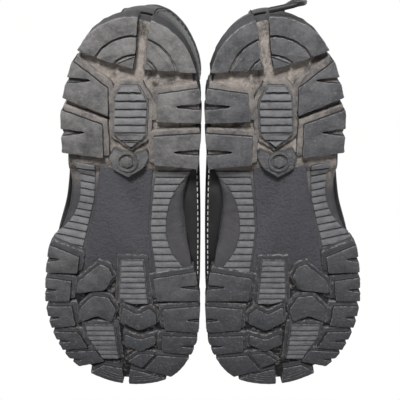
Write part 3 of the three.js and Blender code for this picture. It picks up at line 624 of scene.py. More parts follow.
def ring(centre, across, upward, radius, sides, turn=0.0):
    """Points of a circle around a centre, in the plane of two directions."""
    angles = [2 * math.pi * (k + turn) / sides for k in range(sides)]
    return [centre + (across * math.cos(a) + upward * math.sin(a)) * radius for a in angles]


def add_ladder(sheaf, start, end, inner_edge, outer_edge):
    """A row of low cross ribs beside the waist panel."""
    lateral = inner_edge[0][0] < outer_edge[0][0]
    slant = -LADDER_SLANT if lateral else 0.0
    v = start
    while v < end - LADDER_RIB:
        corners = []
        far = v + LADDER_RIB
        for edge, at in ((inner_edge, v), (outer_edge, v), (outer_edge, far), (inner_edge, far)):
            across = along(outer_edge, at) - along(inner_edge, at)
            width = abs(across) if edge is outer_edge else LADDER_GAP
            corners.append((along(inner_edge, at) + math.copysign(width, across), at + slant * width))
        add_lug(sheaf, corners, lambda d: sole_floor(d) - 1.5, lambda d: sole_floor(d) + 1,
                0.45, 0.2, 0.6, 0.2, RIB_MARK)
        v += LADDER_PITCH


def band(edge, profile, steps):
    """A looped band around an edge; the profile gives (inset, height above the seat) pairs."""
    rows = []
    for i in range(steps):
        place = i * len(edge) / steps
        row = []
        for depth, rise in profile:
            x, v = edge_point(edge, place, depth)
            row.append((x, to_y(v), seat_height(v) + rise))
        rows.append(row)
    return rows


# Along one stitch: the share of its length, its thickness and how far it bows out of the surface.
STITCH_SHAPE = [(0, 0.35, -1), (0.15, 0.9, 0), (0.5, 1, 0.35), (0.85, 0.9, 0), (1, 0.35, -1)]


def stitches(points, normals, length=3.2, gap=1.3, radius=0.5, sink=0.15):
    """Short capsules of thread laid end to end along a line of points."""
    sheaf = Sheaf()
    travelled = [0.0]
    for a, b in zip(points, points[1:]):
        travelled.append(travelled[-1] + (b - a).length)
    at, index = gap, 0

    def read(distance):
        nonlocal index
        while index < len(points) - 2 and travelled[index + 1] < distance:
            index += 1
        t = (distance - travelled[index]) / max(1e-6, travelled[index + 1] - travelled[index])
        return points[index].lerp(points[index + 1], t), normals[index]

    while at + length < travelled[-1]:
        rows = []
        for share, size, rise in STITCH_SHAPE:
            centre, normal = read(at + share * length)
            ahead = (points[index + 1] - points[index]).normalized()
            across = ahead.cross(normal).normalized()
            centre = centre + normal * (rise * radius * 0.6 - sink)
            rows.append(ring(centre, across, normal, radius * size, 6, 0.5))
        sheaf.rings(rows)
        at += length + gap
    return sheaf


def merge(*sheaves):
    total = Sheaf()
    for sheaf in sheaves:
        total.add(sheaf.points, sheaf.faces, sheaf.marks)
    return total


def edge_stitches(edge, inset_at, rise, facing, steps=400, gap=1.6, radius=0.55):
    """A line of stitches around the sole at an inset and height, facing out, up or down."""
    points, normals = [], []
    for i in range(steps + 1):
        place = i * len(edge) / steps
        depth = inset_at(place)
        x, v = edge_point(edge, place, depth)
        xo, vo = edge_point(edge, place, depth - 1)
        outward = Vector((xo - x, -(vo - v), 0)).normalized()
        points.append(Vector((x, to_y(v), seat_height(v) + rise)))
        normals.append((outward * facing[0] + Vector((0, 0, facing[1]))).normalized())
    return stitches(points, normals, length=3.6, gap=gap, radius=radius, sink=0.05)


def make_sole(boot, looks):
    pieces = [make_outsole(boot, looks["rubber"])]
    under = 0.3 - MIDSOLE_THICKNESS
    core = Sheaf()
    core_edge = edge_loop(WELT_EDGE, 4, 200)
    add_slab(core, core_edge, lambda v: seat_height(v) + under, lambda v: seat_height(v) - 0.3, 60, 12)
    wall = [(10, under), (3.2, under), (2.1, under + 0.5), (1.6, under + 1.4), (1.7, under + 2.1),
            (2.5, under + 2.6), (2.5, under + 3.0), (1.7, under + 3.5), (1.5, -2.2), (1.8, -0.9),
            (2.6, -0.3), (10, -0.3)]
    core.rings(band(WELT_EDGE, wall, 220), looped=True)
    pieces.append(boot.piece("midsole_wall", core, looks["foxing"], ["midsole"], angle=50))
    welt = Sheaf()
    profile = [(WELT_INSET, 0.5), (WELT_INSET - 0.3, 1.5), (WELT_INSET, 2.5), (WELT_INSET + 0.6, 3),
               (WELT_INSET + 5, 3.1), (WELT_INSET + WELT_WIDTH, 3), (WELT_INSET + WELT_WIDTH, 0),
               (WELT_INSET + 0.6, 0)]
    welt.rings(band(WELT_EDGE, profile, 220), looped=True)
    boot.piece("stitched_welt", welt, looks["foxing"], ["welt"], angle=50)
    top_row = edge_stitches(WELT_EDGE, lambda place: 3.2, 3.15, (0, 1))
    boot.piece("welt_stitches", top_row, looks["white_thread"])

    def under_inset(place):
        """The lower row runs under the tread on the lateral side and shows on the medial side."""
        return 2.7 + 3.5 * smooth(HEEL / 2 - 0.4 - abs(place - HEEL / 2))

    low_row = edge_stitches(WELT_EDGE, under_inset, under + 0.35, (0.55, -1), gap=0.9, radius=0.42)
    pieces.append(boot.piece("wall_stitches", low_row, looks["white_thread"]))
    footbed = Sheaf()
    bed_edge = edge_loop(WELT_EDGE, 18, 200)
    add_slab(footbed, bed_edge, lambda v: seat_height(v) + BOARD_THICKNESS + 0.3,
             lambda v: seat_height(v) + BOARD_THICKNESS + FOOTBED_THICKNESS - 1, 70, 20, dish=2.5)
    boot.piece("cushion_footbed", footbed, looks["footbed"], ["footbed"], angle=60)
    return pieces


# ------------------------------------------------------------ upper pieces


# The upper's layers: how far each one's inner and outer face stand off the skin.
VAMP_LAYER, QUARTER_LAYER, EYESTAY_LAYER = (0, 1.8), (1.5, 3.0), (2.9, 4.2)
BACKSTAY_LAYER, LINING_LAYER = (2.8, 4.1), (-5.0, -3.2)
QUARTER_SEAM, EYESTAY_SEAM = 3.1, 4.3


def level(value):
    return lambda place: value


def on_flank(flank, place):
    """A place counted from the toe along the lateral side, or its mirror image on the medial side."""
    return place if flank == "lateral" else ROUND - place


def surface_line(boot, route, offset, steps=160):
    """Points and normals along a line given as place-and-height pairs on the skin."""
    points, normals = [], []
    for i in range(steps + 1):
        place, s = route(i / steps)
        normal = boot.normal(place, s)
        points.append(boot.skin(place, s) + normal * offset)
        normals.append(normal)
    return points, normals


def make_upper(boot, looks):
    leather = looks["leather"]

    def seam(route, offset):
        return stitches(*surface_line(boot, route, offset))

    start, end = -VAMP_END - 0.28, VAMP_END + 0.28
    vamp = boot.panel(start, end, level(0), shell_top, VAMP_LAYER, 90, 30, wrinkle=0.5)
    boot.piece("vamp_leather", vamp, leather, ["vamp"])
    for flank in ("lateral", "medial"):
        start, end = on_flank(flank, VAMP_END - 0.05), on_flank(flank, HEEL - 0.01)
        quarter = boot.panel(start, end, level(0), shell_top, QUARTER_LAYER, 80, 26, wrinkle=0.4)
        boot.piece(f"quarter_{flank}_leather", quarter, leather, [f"quarter_{flank}"])
        start, end = on_flank(flank, 2.36), on_flank(flank, 5.9)
        eyestay = boot.panel(start, end, level(0.8), level(0.995), EYESTAY_LAYER, 50, 8)
        boot.piece(f"eyestay_{flank}_leather", eyestay, leather, [f"eyestay_{flank}"])
        rows = []
        for behind in (0.07, 0.19):
            rows.append(seam(lambda t: (on_flank(flank, VAMP_END + behind), mix(0.03, 0.79, t)),
                             QUARTER_SEAM))
        for s in (0.82, 0.975):
            rows.append(seam(lambda t: (on_flank(flank, mix(2.45, 5.82, t)), s), EYESTAY_SEAM))
        under_collar = shell_top(7.5) - 0.025
        rows.append(seam(lambda t: (on_flank(flank, mix(6.4, 8.6, t)), under_collar), QUARTER_SEAM))
        rows.append(seam(lambda t: (on_flank(flank, 8.62), mix(0.05, 0.74, t)), EYESTAY_SEAM))
        boot.piece(f"seams_{flank}", merge(*rows), looks["dark_thread"])
    backstay = boot.panel(HEEL - 0.42, HEEL + 0.42, level(0.02), level(0.77), BACKSTAY_LAYER, 18, 26)
    boot.piece("backstay_leather", backstay, leather, ["backstay"])
    lining = boot.panel(0, ROUND, level(0.0), lambda p: shell_top(p) - 0.005, LINING_LAYER, 150, 22,
                        looped=True)
    boot.piece("mesh_lining", lining, looks["lining"], ["lining"])
    make_collar(boot, looks)
    make_tongue(boot, looks)


# Cloth pressure, the cap on each point's move and the voxel size of the two puffed pieces.
COLLAR_PUFF, TONGUE_PUFF = (3.0, 1.6, 3.0), (2.0, 1.4, 2.6)
COLLAR_STEPS, COLLAR_SIDES = 96, 20
# The tongue's rows, how deep its two faces lie under the throat, and the tab at its top: rows,
# reach back, rise and how narrow it gets.
TONGUE_STEPS, TONGUE_DEPTHS = 34, (0.2, 4.0)
TAB_ROWS, TAB_BACK, TAB_RISE, TAB_SHARE = 6, 4, 14, 0.86


def puff_up(obj, pressure, cap, voxel, frames=18):
    """Blows a padded piece up as cloth, caps how far each point may move (mm), and smooths it."""
    bpy.context.view_layer.update()
    remesh = obj.modifiers.new("Remesh", "REMESH")
    remesh.mode = "VOXEL"
    remesh.voxel_size = voxel * MM
    apply_modifiers(obj)
    before = [v.co.copy() for v in obj.data.vertices]
    cloth = obj.modifiers.new("Cloth", "CLOTH")
    cloth.settings.use_pressure = True
    cloth.settings.uniform_pressure_force = pressure
    cloth.settings.effector_weights.gravity = 0
    cloth.settings.quality = 5
    cloth.point_cache.frame_start, cloth.point_cache.frame_end = 1, frames
    for step in range(1, frames + 1):
        bpy.context.scene.frame_set(step)
    apply_modifiers(obj)
    for vertex, home in zip(obj.data.vertices, before):
        move = vertex.co - home
        if move.length > cap * MM:
            vertex.co = home + move.normalized() * cap * MM
    bpy.context.scene.frame_set(1)
    soften = obj.modifiers.new("Smooth", "SMOOTH")
    soften.factor, soften.iterations = 0.5, 3
    obj.modifiers.new("Subdivision", "SUBSURF").levels = 1
    apply_modifiers(obj)
    obj.data.polygons.foreach_set("use_smooth", [True] * len(obj.data.polygons))


def apply_modifiers(obj):
    graph = bpy.context.evaluated_depsgraph_get()
    mesh = bpy.data.meshes.new_from_object(obj.evaluated_get(graph), depsgraph=graph)
    obj.modifiers.clear()
    obj.data = mesh


def make_collar(boot, looks):
    sheaf = Sheaf()
    steps, sides = COLLAR_STEPS, COLLAR_SIDES
    rows = []
    for i in range(steps + 1):
        place = mix(COLLAR_FROM, ROUND - COLLAR_FROM, i / steps)
        ends = min(i, steps - i) / (0.05 * steps)
        full = math.sqrt(min(1, 0.25 + ends))
        row = []
        for j in range(sides):
            angle = 2 * math.pi * (j + 0.5) / sides
            s = COLLAR_MIDDLE + COLLAR_HALF * full * math.cos(angle)
            thick = COLLAR_THICKNESS / 2 - 0.4
            row.append(boot.off(place, s, COLLAR_CENTRE + thick * full * math.sin(angle)))
        rows.append(row)
    sheaf.rings(rows)
    collar = boot.piece("padded_collar", sheaf, looks["soft_leather"], ["collar_pad"])
    puff_up(collar, *COLLAR_PUFF)


def tongue_rows(boot, steps, extra):
    """Cross rows of the tongue's outer face, sunk by an extra depth."""
    rows = []
    for i in range(steps + 1):
        t = i / steps
        lateral = mix(0.75, 5.85, t)
        medial = ROUND - lateral
        spread = mix(0.9, 0.84, smooth(t * 2)) + 0.06 * smooth(2 * t - 1)
        sink = mix(mix(9, 6.2, smooth(3 * t)), 8.7, smooth(2 * t - 1)) + extra
        a, b = boot.off(lateral, spread, -sink), boot.off(lateral, 0.96, -sink)
        d, c = boot.off(medial, spread, -sink), boot.off(medial, 0.96, -sink)
        middle = (b + c) / 2 + Vector((0, -1.5, 3))
        curve = [a, b, middle, c, d]
        rows.append([catmull(curve, k / 4) for k in range(17)])
    return rows


def catmull(points, at):
    """A smooth open curve through points, read at a place from 0 to the last point's number."""
    last = len(points) - 1
    i = min(int(at), last - 1)
    t = at - i
    a, b, c, d = (points[min(max(i + k, 0), last)] for k in (-1, 0, 1, 2))
    cubic = 3 * b - 3 * c + d - a
    return 0.5 * (2 * b + (c - a) * t + (2 * a - 5 * b + 4 * c - d) * t * t + cubic * t ** 3)


def make_tongue(boot, looks):
    outer, inner = (tongue_rows(boot, TONGUE_STEPS, depth) for depth in TONGUE_DEPTHS)
    rows = [o + n[::-1] for o, n in zip(outer, inner)]
    last = rows[-1]
    centre = sum((p.x for p in last)) / len(last)
    for k in range(1, TAB_ROWS + 1):
        t = k / TAB_ROWS
        narrow = mix(1, TAB_SHARE, t * t)
        rows.append([Vector((mix(centre, p.x, narrow), p.y + TAB_BACK * t, p.z + TAB_RISE * t))
                     for p in last])
    sheaf = Sheaf()
    sheaf.rings(rows)
    tongue = boot.piece("padded_tongue", sheaf, looks["soft_leather"], ["tongue"],
                        body=f"{boot.side}_tongue_pad")
    puff_up(tongue, *TONGUE_PUFF)


# ------------------------------------------------------------ laces

# Routes on the upper: place from the toe, share of the height and distance off the skin.
BOW_LOOP = [
    (5.85, 0.9, 11), (5.5, 0.77, 8), (5.1, 0.66, 6.5), (4.75, 0.58, 6), (4.5, 0.6, 6),
    (4.6, 0.7, 7), (5, 0.82, 9.5), (5.45, 0.93, 13.5),
]
HANGING_LACE = [
    (4.5, 1, 13.5), (4.05, 0.93, 12), (3.95, 0.86, 10), (3.88, 0.79, 6.5), (3.82, 0.71, 5),
    (3.78, 0.63, 4.7), (3.76, 0.55, 4.7), (3.75, 0.47, 4.7), (3.75, 0.4, 4.7),
]
COLLAR_LACE = (6.35, 6.8, 7.3, 7.8, 8.2)
HEEL_LACE = [(8.55, 0.93, 7), (8.6, 0.82, 6.6), (8.62, 0.66, 6.1), (8.63, 0.48, 6), (8.63, 0.3, 6)]
# The stretch behind the heel, as x, v and height.
GROUND_LACE = [
    (55, -2, 38), (57, -4.5, 27), (58, -6.5, 15), (57, -7, 6), (53, -7, 2), (45, -5.2, 1.8), (36, -3.4, 1.8),
]
AGLET_LENGTH, AGLET_RADIUS, AGLET_CRIMP = 16, 1.72, 1.6
# An eyelet's section: radius and height over the eyestay.
EYELET_SECTION = [
    (2.2, -0.5), (2.2, 0.9), (2.6, 1.25), (3.2, 1.3), (3.8, 1.0), (4.1, 0.5), (4.0, 0.0), (3.0, -0.5),
]
EYELET_HOLE, EYELET_SIDES = 2.4, 28


def tube(points, radius, sides=10, steps=None):
    """A round cord through points, with the distance along it stored as its mark."""
    count = steps or 8 * len(points)
    line = [catmull(points, i * (len(points) - 1) / count) for i in range(count + 1)]
    sheaf = Sheaf()
    rows, marks = [], []
    side = Vector((0, 0, 1))
    distance = 0.0
    for i, p in enumerate(line):
        ahead = (line[min(i + 1, count)] - line[max(i - 1, 0)]).normalized()
        side = (side - ahead * side.dot(ahead)).normalized()
        other = ahead.cross(side)
        if i:
            distance += (p - line[i - 1]).length
        marks += [distance + radius * 2 * math.pi * k / sides for k in range(sides)]
        rows.append(ring(p, side, other, radius, sides))
    sheaf.rings(rows, marks=marks)
    return sheaf, line


def make_crossings(boot, looks):
    """The lace comes up through each eyelet, crosses, and goes under the opposite eyestay."""
    radius = LACE_DIAMETER / 2
    strands = []
    for row in range(len(EYELET_PLACES) - 1):
        for flank, other, rise in (("lateral", "medial", 3.4), ("medial", "lateral", 0.6)):
            here = on_flank(flank, EYELET_PLACES[row])
            there = on_flank(other, EYELET_PLACES[row + 1] - 0.1)
            start, end = boot.off(here, 0.985, 6.0), boot.off(there, 0.995, 2.4)
            middle = (start + end) / 2 + Vector((0, -0.5 * rise, rise))
            route = [boot.off(here, EYELET_DEPTH, 2.0), boot.off(here, EYELET_DEPTH, 5.2),
                     boot.off(here, 0.95, 6.8), start, middle, end, boot.off(there, 0.96, -3.5)]
            strands.append(tube(route, radius)[0])
    bar = []
    for flank in ("lateral", "medial"):
        place = on_flank(flank, EYELET_PLACES[0] - 0.15)
        half = [boot.off(place, 0.95, -3.5), boot.off(place, 0.995, 2.6)]
        bar += half if flank == "lateral" else half[::-1]
    bar.insert(2, (bar[1] + bar[2]) / 2 + Vector((0, -0.6, 1.6)))
    strands.append(tube(bar, radius)[0])
    knot = knot_centre(boot)
    for flank, sign in (("lateral", 1), ("medial", -1)):
        here = on_flank(flank, EYELET_PLACES[-1])
        route = [boot.off(here, EYELET_DEPTH, 2.0), boot.off(here, EYELET_DEPTH, 5.4),
                 boot.off(here, 0.955, 7.4),
                 knot + Vector((sign * 8, -2.5, -0.6)), knot + Vector((sign * 2, -0.5, 0))]
        strands.append(tube(route, radius)[0])
    boot.piece("laced_crossings", merge(*strands), looks["lace"], ["lace_run"], angle=80)


def knot_centre(boot):
    top = EYELET_PLACES[-1]
    middle = (boot.off(top, 1, 7) + boot.off(ROUND - top, 1, 7)) / 2
    return middle + Vector((0, 7.5, 6))


def make_bow(boot, looks):
    knot = knot_centre(boot)
    radius = LACE_DIAMETER / 2
    strands = []
    for flank, sign in (("lateral", 1), ("medial", -1)):
        route = [knot + Vector((sign * 2, 1, 1))]
        route += [boot.off(on_flank(flank, p), s, offset) for p, s, offset in BOW_LOOP]
        route.append(knot + Vector((sign * 2, -2.5, 1)))
        strands.append(tube(route, radius, steps=110)[0])
    turns = 28
    for shift, tilt, size in ((-1.4, 0.25, 4.2), (1.6, -0.2, 4.0)):
        wrap = []
        for i in range(turns + 1):
            a = 2 * math.pi * i / turns
            swing, rise = size * math.cos(a), size * math.sin(a)
            wrap.append(knot + Vector((shift + tilt * rise, swing, 0.95 * rise)))
        strands.append(tube(wrap, radius * 1.05, steps=60)[0])
    core = [knot + Vector((x, -0.6, z)) for x, z in ((-5.5, -0.6), (-2, 0.6), (2, -0.4), (5.5, 0.4))]
    strands.append(tube(core, radius * 1.3)[0])
    boot.piece("tied_bow", merge(*strands), looks["lace"], ["lace_bow"], angle=80)


def hanging_end(boot, flank):
    """A free end hangs from the knot down the front of the boot, over the shell."""
    knot = knot_centre(boot)
    sign = 1 if flank == "lateral" else -1
    return [knot + Vector((sign * 3, -6, 1.6)), knot + Vector((sign * 7, -11, 0))] + [
        boot.off(on_flank(flank, p), s, offset) for p, s, offset in HANGING_LACE]


def trailing_end(boot):
    """One end lies along the collar, falls down behind the heel and ends on the ground there."""
    knot = knot_centre(boot)
    rim = [boot.off(p, 1, COLLAR_CENTRE) + Vector((0, 0, 3.4)) for p in COLLAR_LACE]
    return ([knot + Vector((2, 3.6, 6)), knot + Vector((11, 9, 9))] + rim
            + [boot.off(p, s, offset) for p, s, offset in HEEL_LACE]
            + [Vector((x, to_y(v), z)) for x, v, z in GROUND_LACE])


def make_ends(boot, looks):
    pieces = []
    for flank in ("lateral", "medial"):
        trailing = boot.side == "right" and flank == "lateral"
        route = trailing_end(boot) if trailing else hanging_end(boot, flank)
        sheaf, line = tube(route, LACE_DIAMETER / 2, sides=12, steps=10 * len(route))
        lace = boot.piece(f"loose_lace_{flank}", sheaf, looks["lace"], [f"lace_end_{flank}"], angle=80)
        tip = boot.piece(f"aglet_{flank}", make_aglet(line), looks["aglet"], angle=50)
        path = [boot.world(p) for p in line]
        pieces += [lace, tip]
    return pieces


def make_aglet(line):
    """A crimped sleeve over the last stretch of a lace."""
    reach, start = 0.0, len(line) - 1
    while reach < AGLET_LENGTH:
        reach += (line[start] - line[start - 1]).length
        start -= 1
    stretch = line[start:]
    sheaf = Sheaf()
    rows = []
    for i, p in enumerate(stretch):
        ahead = (stretch[min(i + 1, len(stretch) - 1)] - stretch[max(i - 1, 0)]).normalized()
        side = ahead.cross(Vector((0.3, 0.2, 1))).normalized()
        other = ahead.cross(side)
        share = i / (len(stretch) - 1)
        radius = AGLET_RADIUS if 0.06 < share < 0.94 else AGLET_CRIMP
        rows.append(ring(p, side, other, radius, 14))
    sheaf.rings(rows)
    return sheaf


def make_eyelets(boot, looks):
    for flank in ("lateral", "medial"):
        for row, place in enumerate(EYELET_PLACES):
            spot = on_flank(flank, place)
            centre, normal = boot.off(spot, EYELET_DEPTH, EYELET_LIFT), boot.normal(spot, EYELET_DEPTH)
            side = normal.cross(Vector((0, 1, 0))).normalized()
            other = normal.cross(side)
            sheaf = Sheaf()
            rows = []
            for across in ring(Vector(), side, other, 1, EYELET_SIDES):
                rows.append([centre + across * r + normal * h for r, h in EYELET_SECTION])
            sheaf.rings(rows, looped=True)
            # A thin near-black disc across the bore is painted shade, standing for the dark inside of the
            # hole.
            hole_shade = ring(centre + normal * 0.2, side, other, EYELET_HOLE, EYELET_SIDES)
            deep = [p - normal * 0.5 for p in hole_shade]
            base = len(hole_shade)
            faces = [tuple(range(base)), tuple(range(2 * base - 1, base - 1, -1))]
            faces += [(i, i + base, (i + 1) % base + base, (i + 1) % base) for i in range(base)]
            sheaf.add(hole_shade + deep, faces, slot=1)
            name = f"eyelet_{flank}_{row + 1}"
            boot.piece(f"ring_{name}", sheaf, [looks["enamel"], looks["hole_shade"]], [name], angle=50)


# ------------------------------------------------------------ materials


def srgb(r, g, b):
    def linear(c):
        c /= 255
        return c / 12.92 if c <= 0.04045 else ((c + 0.055) / 1.055) ** 2.4
    return (linear(r), linear(g), linear(b), 1)


class Look:
    """A small helper to write node materials as short lines."""

    def __init__(self, name, roughness=0.6, metallic=0.0, specular=0.5, sheen=0.0):
        self.material = bpy.data.materials.new(name)
        self.material.use_nodes = True
        self.tree = self.material.node_tree
        self.shader = self.tree.nodes["Principled BSDF"]
        self.shader.inputs["Roughness"].default_value = roughness
        self.shader.inputs["Metallic"].default_value = metallic
        self.shader.inputs["Specular IOR Level"].default_value = specular
        self.shader.inputs["Sheen Weight"].default_value = sheen
        coords = self.node("ShaderNodeTexCoord")
        self.place = coords.outputs["Object"]

    def node(self, kind, inputs=None, **settings):
        node = self.tree.nodes.new(kind)
        for key, value in settings.items():
            setattr(node, key, value)
        for key, value in (inputs or {}).items():
            socket = node.inputs[key]
            if isinstance(value, bpy.types.NodeSocket):
                self.tree.links.new(value, socket)
            else:
                socket.default_value = value
        return node

    def noise(self, scale, detail=3.0, rough=0.55, distortion=0.0):
        inputs = {"Vector": self.place, "Scale": scale, "Detail": detail, "Roughness": rough,
                  "Distortion": distortion}
        return self.node("ShaderNodeTexNoise", inputs).outputs["Fac"]

    def cells(self, scale, feature="DISTANCE_TO_EDGE"):
        inputs = {"Vector": self.place, "Scale": scale}
        return self.node("ShaderNodeTexVoronoi", inputs, feature=feature).outputs["Distance"]

    def math(self, operation, a, b=0.0):
        return self.node("ShaderNodeMath", {0: a, 1: b}, operation=operation).outputs[0]

    def times(self, first, *others):
        for other in others:
            first = self.math("MULTIPLY", first, other)
        return first

    def between(self, value, low, full, fading, gone):
        """1 while the value lies between full and fading, and 0 outside low and gone."""
        return self.times(self.ramp(value, low, full), self.ramp(value, fading, gone, 1, 0))

    def ramp(self, value, low, high, start=0.0, end=1.0):
        inputs = {"Value": value, "From Min": low, "From Max": high, "To Min": start, "To Max": end}
        return self.node("ShaderNodeMapRange", inputs, clamp=True).outputs[0]

    def blend(self, factor, a, b, mode="MIX"):
        node = self.node("ShaderNodeMix", data_type="RGBA", blend_type=mode)
        for key, value in (("Factor", factor), ("A", a), ("B", b)):
            socket = next(s for s in node.inputs if s.name == key and s.enabled)
            if isinstance(value, bpy.types.NodeSocket):
                self.tree.links.new(value, socket)
            else:
                socket.default_value = value
        return next(s for s in node.outputs if s.enabled)

    def mark(self):
        return self.node("ShaderNodeAttribute", attribute_name="mark").outputs["Fac"]

    def axis(self, name):
        return self.node("ShaderNodeSeparateXYZ", {"Vector": self.place}).outputs[name]

    def bump(self, height, strength, distance, base=None):
        inputs = {"Height": height, "Strength": strength, "Distance": distance}
        if base is not None:
            inputs["Normal"] = base
        return self.node("ShaderNodeBump", inputs).outputs["Normal"]

    def wire(self, socket, value):
        self.tree.links.new(value, self.shader.inputs[socket])


def rubber_look():
    """Worn lug rubber: grey faces, walls and grooves darkened as painted shade, tan dust in the heel's
    grooves.
    """
    look = Look("worn_rubber", roughness=0.8, specular=0.35)
    normal = look.node("ShaderNodeNewGeometry").outputs["Normal"]
    facing = look.node("ShaderNodeSeparateXYZ", {"Vector": normal})
    downward = look.ramp(look.times(facing.outputs["Z"], -1.0), 0.2, 0.75)
    sideways = look.math("SUBTRACT", 1.0, downward)
    backward = look.ramp(facing.outputs["Y"], 0.35, 0.8)
    deep = look.mark()
    mottle = look.noise(75, 6, 0.7)
    grit = look.noise(650, 4, 0.75)
    across, forward = look.axis("X"), look.axis("Y")

    # Worn faces, paler at the heel partly from wear and partly as painted light falling from the heel end,
    # with streaks, grit and small chips.
    heel_tone_and_light = look.blend(look.ramp(across, -0.01, 0.01), srgb(104, 104, 106), srgb(134, 132, 130))
    face = look.blend(look.ramp(forward, -0.1, 0.13), srgb(70, 71, 75), heel_tone_and_light)
    face = look.blend(look.ramp(mottle, 0.4, 0.68, 0, 0.85), face, srgb(60, 61, 65))
    streaks = look.ramp(look.noise(330, 6, 0.85, 2.0), 0.5, 0.75, 0, 0.5)
    face = look.blend(streaks, face, srgb(52, 52, 56))
    face = look.blend(look.ramp(grit, 0.55, 0.8, 0, 0.45), face, srgb(168, 166, 163))
    chips = look.ramp(look.cells(150, "F1"), 0.0, 0.16, 0.35, 0)
    face = look.blend(chips, face, srgb(158, 156, 152))
    rib_wear = look.ramp(look.noise(140, 5, 0.7), 0.3, 0.65, 0.25, 1)
    ribs = look.times(look.ramp(deep, -0.2, 0.0, 0.75, 0), rib_wear)
    face = look.blend(ribs, face, srgb(138, 138, 141))

    # Steps, the stippled waist panel and the bottoms of the grooves. Steps, walls and groove bottoms are
    # darkened with depth as painted shade.
    lower = look.blend(look.ramp(deep, 0.1, 0.3, 0, 0.65), face, srgb(56, 56, 60))
    panel = look.between(deep, 0.26, 0.29, 0.33, 0.4)
    stipple = look.times(panel, look.ramp(look.cells(620, "F1"), 0.15, 0.5))
    lower = look.blend(stipple, lower, srgb(78, 78, 83))
    waist = look.times(look.ramp(forward, 0.044, 0.05, 1, 0), look.ramp(forward, -0.04, -0.03))
    waist_tone = look.blend(look.noise(110, 4), srgb(58, 57, 61), srgb(88, 86, 88))
    # Painted shade: the bottoms of the grooves go near-black, except in the waist, which keeps its own grey
    # tone.
    bottom = look.blend(waist, srgb(20, 20, 23), waist_tone)
    lower = look.blend(look.ramp(deep, 0.72, 0.97, 0, 0.95), lower, bottom)

    # Rubbed rims, then the plain outer walls of the sole.
    rim = look.between(deep, 0.01, 0.06, 0.12, 0.25)
    flash = look.between(deep, 0.6, 0.63, 0.67, 0.75)
    rubbed = look.times(look.math("MAXIMUM", rim, flash), look.ramp(look.noise(300, 6, 0.8), 0.46, 0.56))
    lower = look.blend(look.times(rubbed, 0.75), lower, srgb(156, 154, 152))
    outside = look.times(look.between(deep, 0.12, 0.17, 0.26, 0.3), sideways)
    wall = look.blend(look.ramp(mottle, 0.35, 0.7), srgb(37, 37, 40), srgb(50, 50, 53))
    lower = look.blend(outside, lower, wall)

    # Dust lies in the heel's grooves and as specks in the others.
    at_heel = look.ramp(forward, 0.028, 0.062)
    patches = look.ramp(look.noise(60, 6, 0.8, 0.8), 0.38, 0.56, 0.15, 1)
    settled = look.times(look.ramp(deep, 0.3, 0.8), look.math("MAXIMUM", downward, backward))
    settled = look.times(settled, look.times(patches, at_heel))
    crumbs = look.ramp(look.noise(230, 6, 0.8), 0.53, 0.62)
    specks = look.times(crumbs, look.ramp(deep, 0.3, 0.8, 0.08, 0.6))
    specks = look.times(specks, downward, look.math("SUBTRACT", 1.0, waist))
    dust = look.blend(look.noise(420, 5, 0.8), srgb(104, 97, 92), srgb(196, 186, 177))
    look.wire("Base Color", look.blend(look.math("MAXIMUM", settled, specks), lower, dust))
    look.wire("Roughness", look.ramp(mottle, 0.3, 0.7, 0.62, 0.92))
    fine = look.bump(look.noise(1300, 4, 0.7), 0.5, 0.0004)
    dimples = look.bump(look.cells(620, "F1"), look.times(panel, 0.8), 0.0005, fine)
    look.wire("Normal", look.bump(look.noise(230, 6, 0.75), 0.95, 0.0013, dimples))
    return look.material


def leather_look(name, tone, roughness, grain=520, depth=0.45):
    look = Look(name, roughness=roughness, specular=0.5)
    tint = look.noise(28, 4)
    darker = tuple(0.6 * c for c in tone[:3]) + (1,)
    scuffed = tuple(min(1, 2.2 * c + 0.012) for c in tone[:3]) + (1,)
    base = look.blend(tint, darker, tone)
    wear = look.ramp(look.noise(95, 6, 0.75), 0.6, 0.78, 0, 0.45)
    look.wire("Base Color", look.blend(wear, base, scuffed))
    look.wire("Roughness", look.ramp(look.noise(45, 4), 0.3, 0.7, roughness - 0.1, roughness + 0.13))
    pores = look.ramp(look.cells(grain), 0.0, 0.22)
    creases = look.bump(look.noise(60, 3, 0.6, 1.2), 0.22, 0.0012)
    look.wire("Normal", look.bump(pores, depth, 0.00035, creases))
    return look.material


def foxing_look():
    """The smooth black wall of the midsole and welt, a little dusty and rubbed."""
    look = Look("black_wall", roughness=0.55, specular=0.4)
    rubbed = look.ramp(look.noise(60, 6, 0.7), 0.5, 0.75, 0, 0.6)
    look.wire("Base Color", look.blend(rubbed, srgb(26, 26, 28), srgb(58, 57, 57)))
    look.wire("Roughness", look.ramp(look.noise(120, 4), 0.3, 0.7, 0.45, 0.75))
    look.wire("Normal", look.bump(look.noise(700, 4), 0.3, 0.0003))
    return look.material


def weave_look(name, dark, light, pitch=1400.0, roughness=0.95):
    """A knitted or woven cloth: two crossed sets of ridges."""
    look = Look(name, roughness=roughness, specular=0.2, sheen=0.3)
    ridges = []
    for axis in ("Y", "Z"):
        ridges.append(look.math("SINE", look.math("MULTIPLY", look.axis(axis), 2 * math.pi * pitch / 2.2)))
    knit = look.ramp(look.math("MULTIPLY", *ridges), -1, 1)
    look.wire("Base Color", look.blend(look.math("MULTIPLY", knit, look.noise(60)), dark, light))
    look.wire("Normal", look.bump(knit, 0.5, 0.0004))
    return look.material


def lace_look():
    """Black braid: the mark runs along and around the cord, so its sine winds as a helix."""
    look = Look("black_braid", roughness=0.85, specular=0.25, sheen=0.25)
    wound = look.math("SINE", look.math("MULTIPLY", look.mark(), 2 * math.pi / 1.25))
    plait = look.ramp(wound, -1, 1)
    shade = look.blend(look.noise(300), srgb(22, 22, 24), srgb(44, 44, 47))
    look.wire("Base Color", look.blend(look.math("MULTIPLY", plait, 0.6), srgb(12, 12, 13), shade))
    look.wire("Normal", look.bump(plait, 0.7, 0.0004))
    return look.material


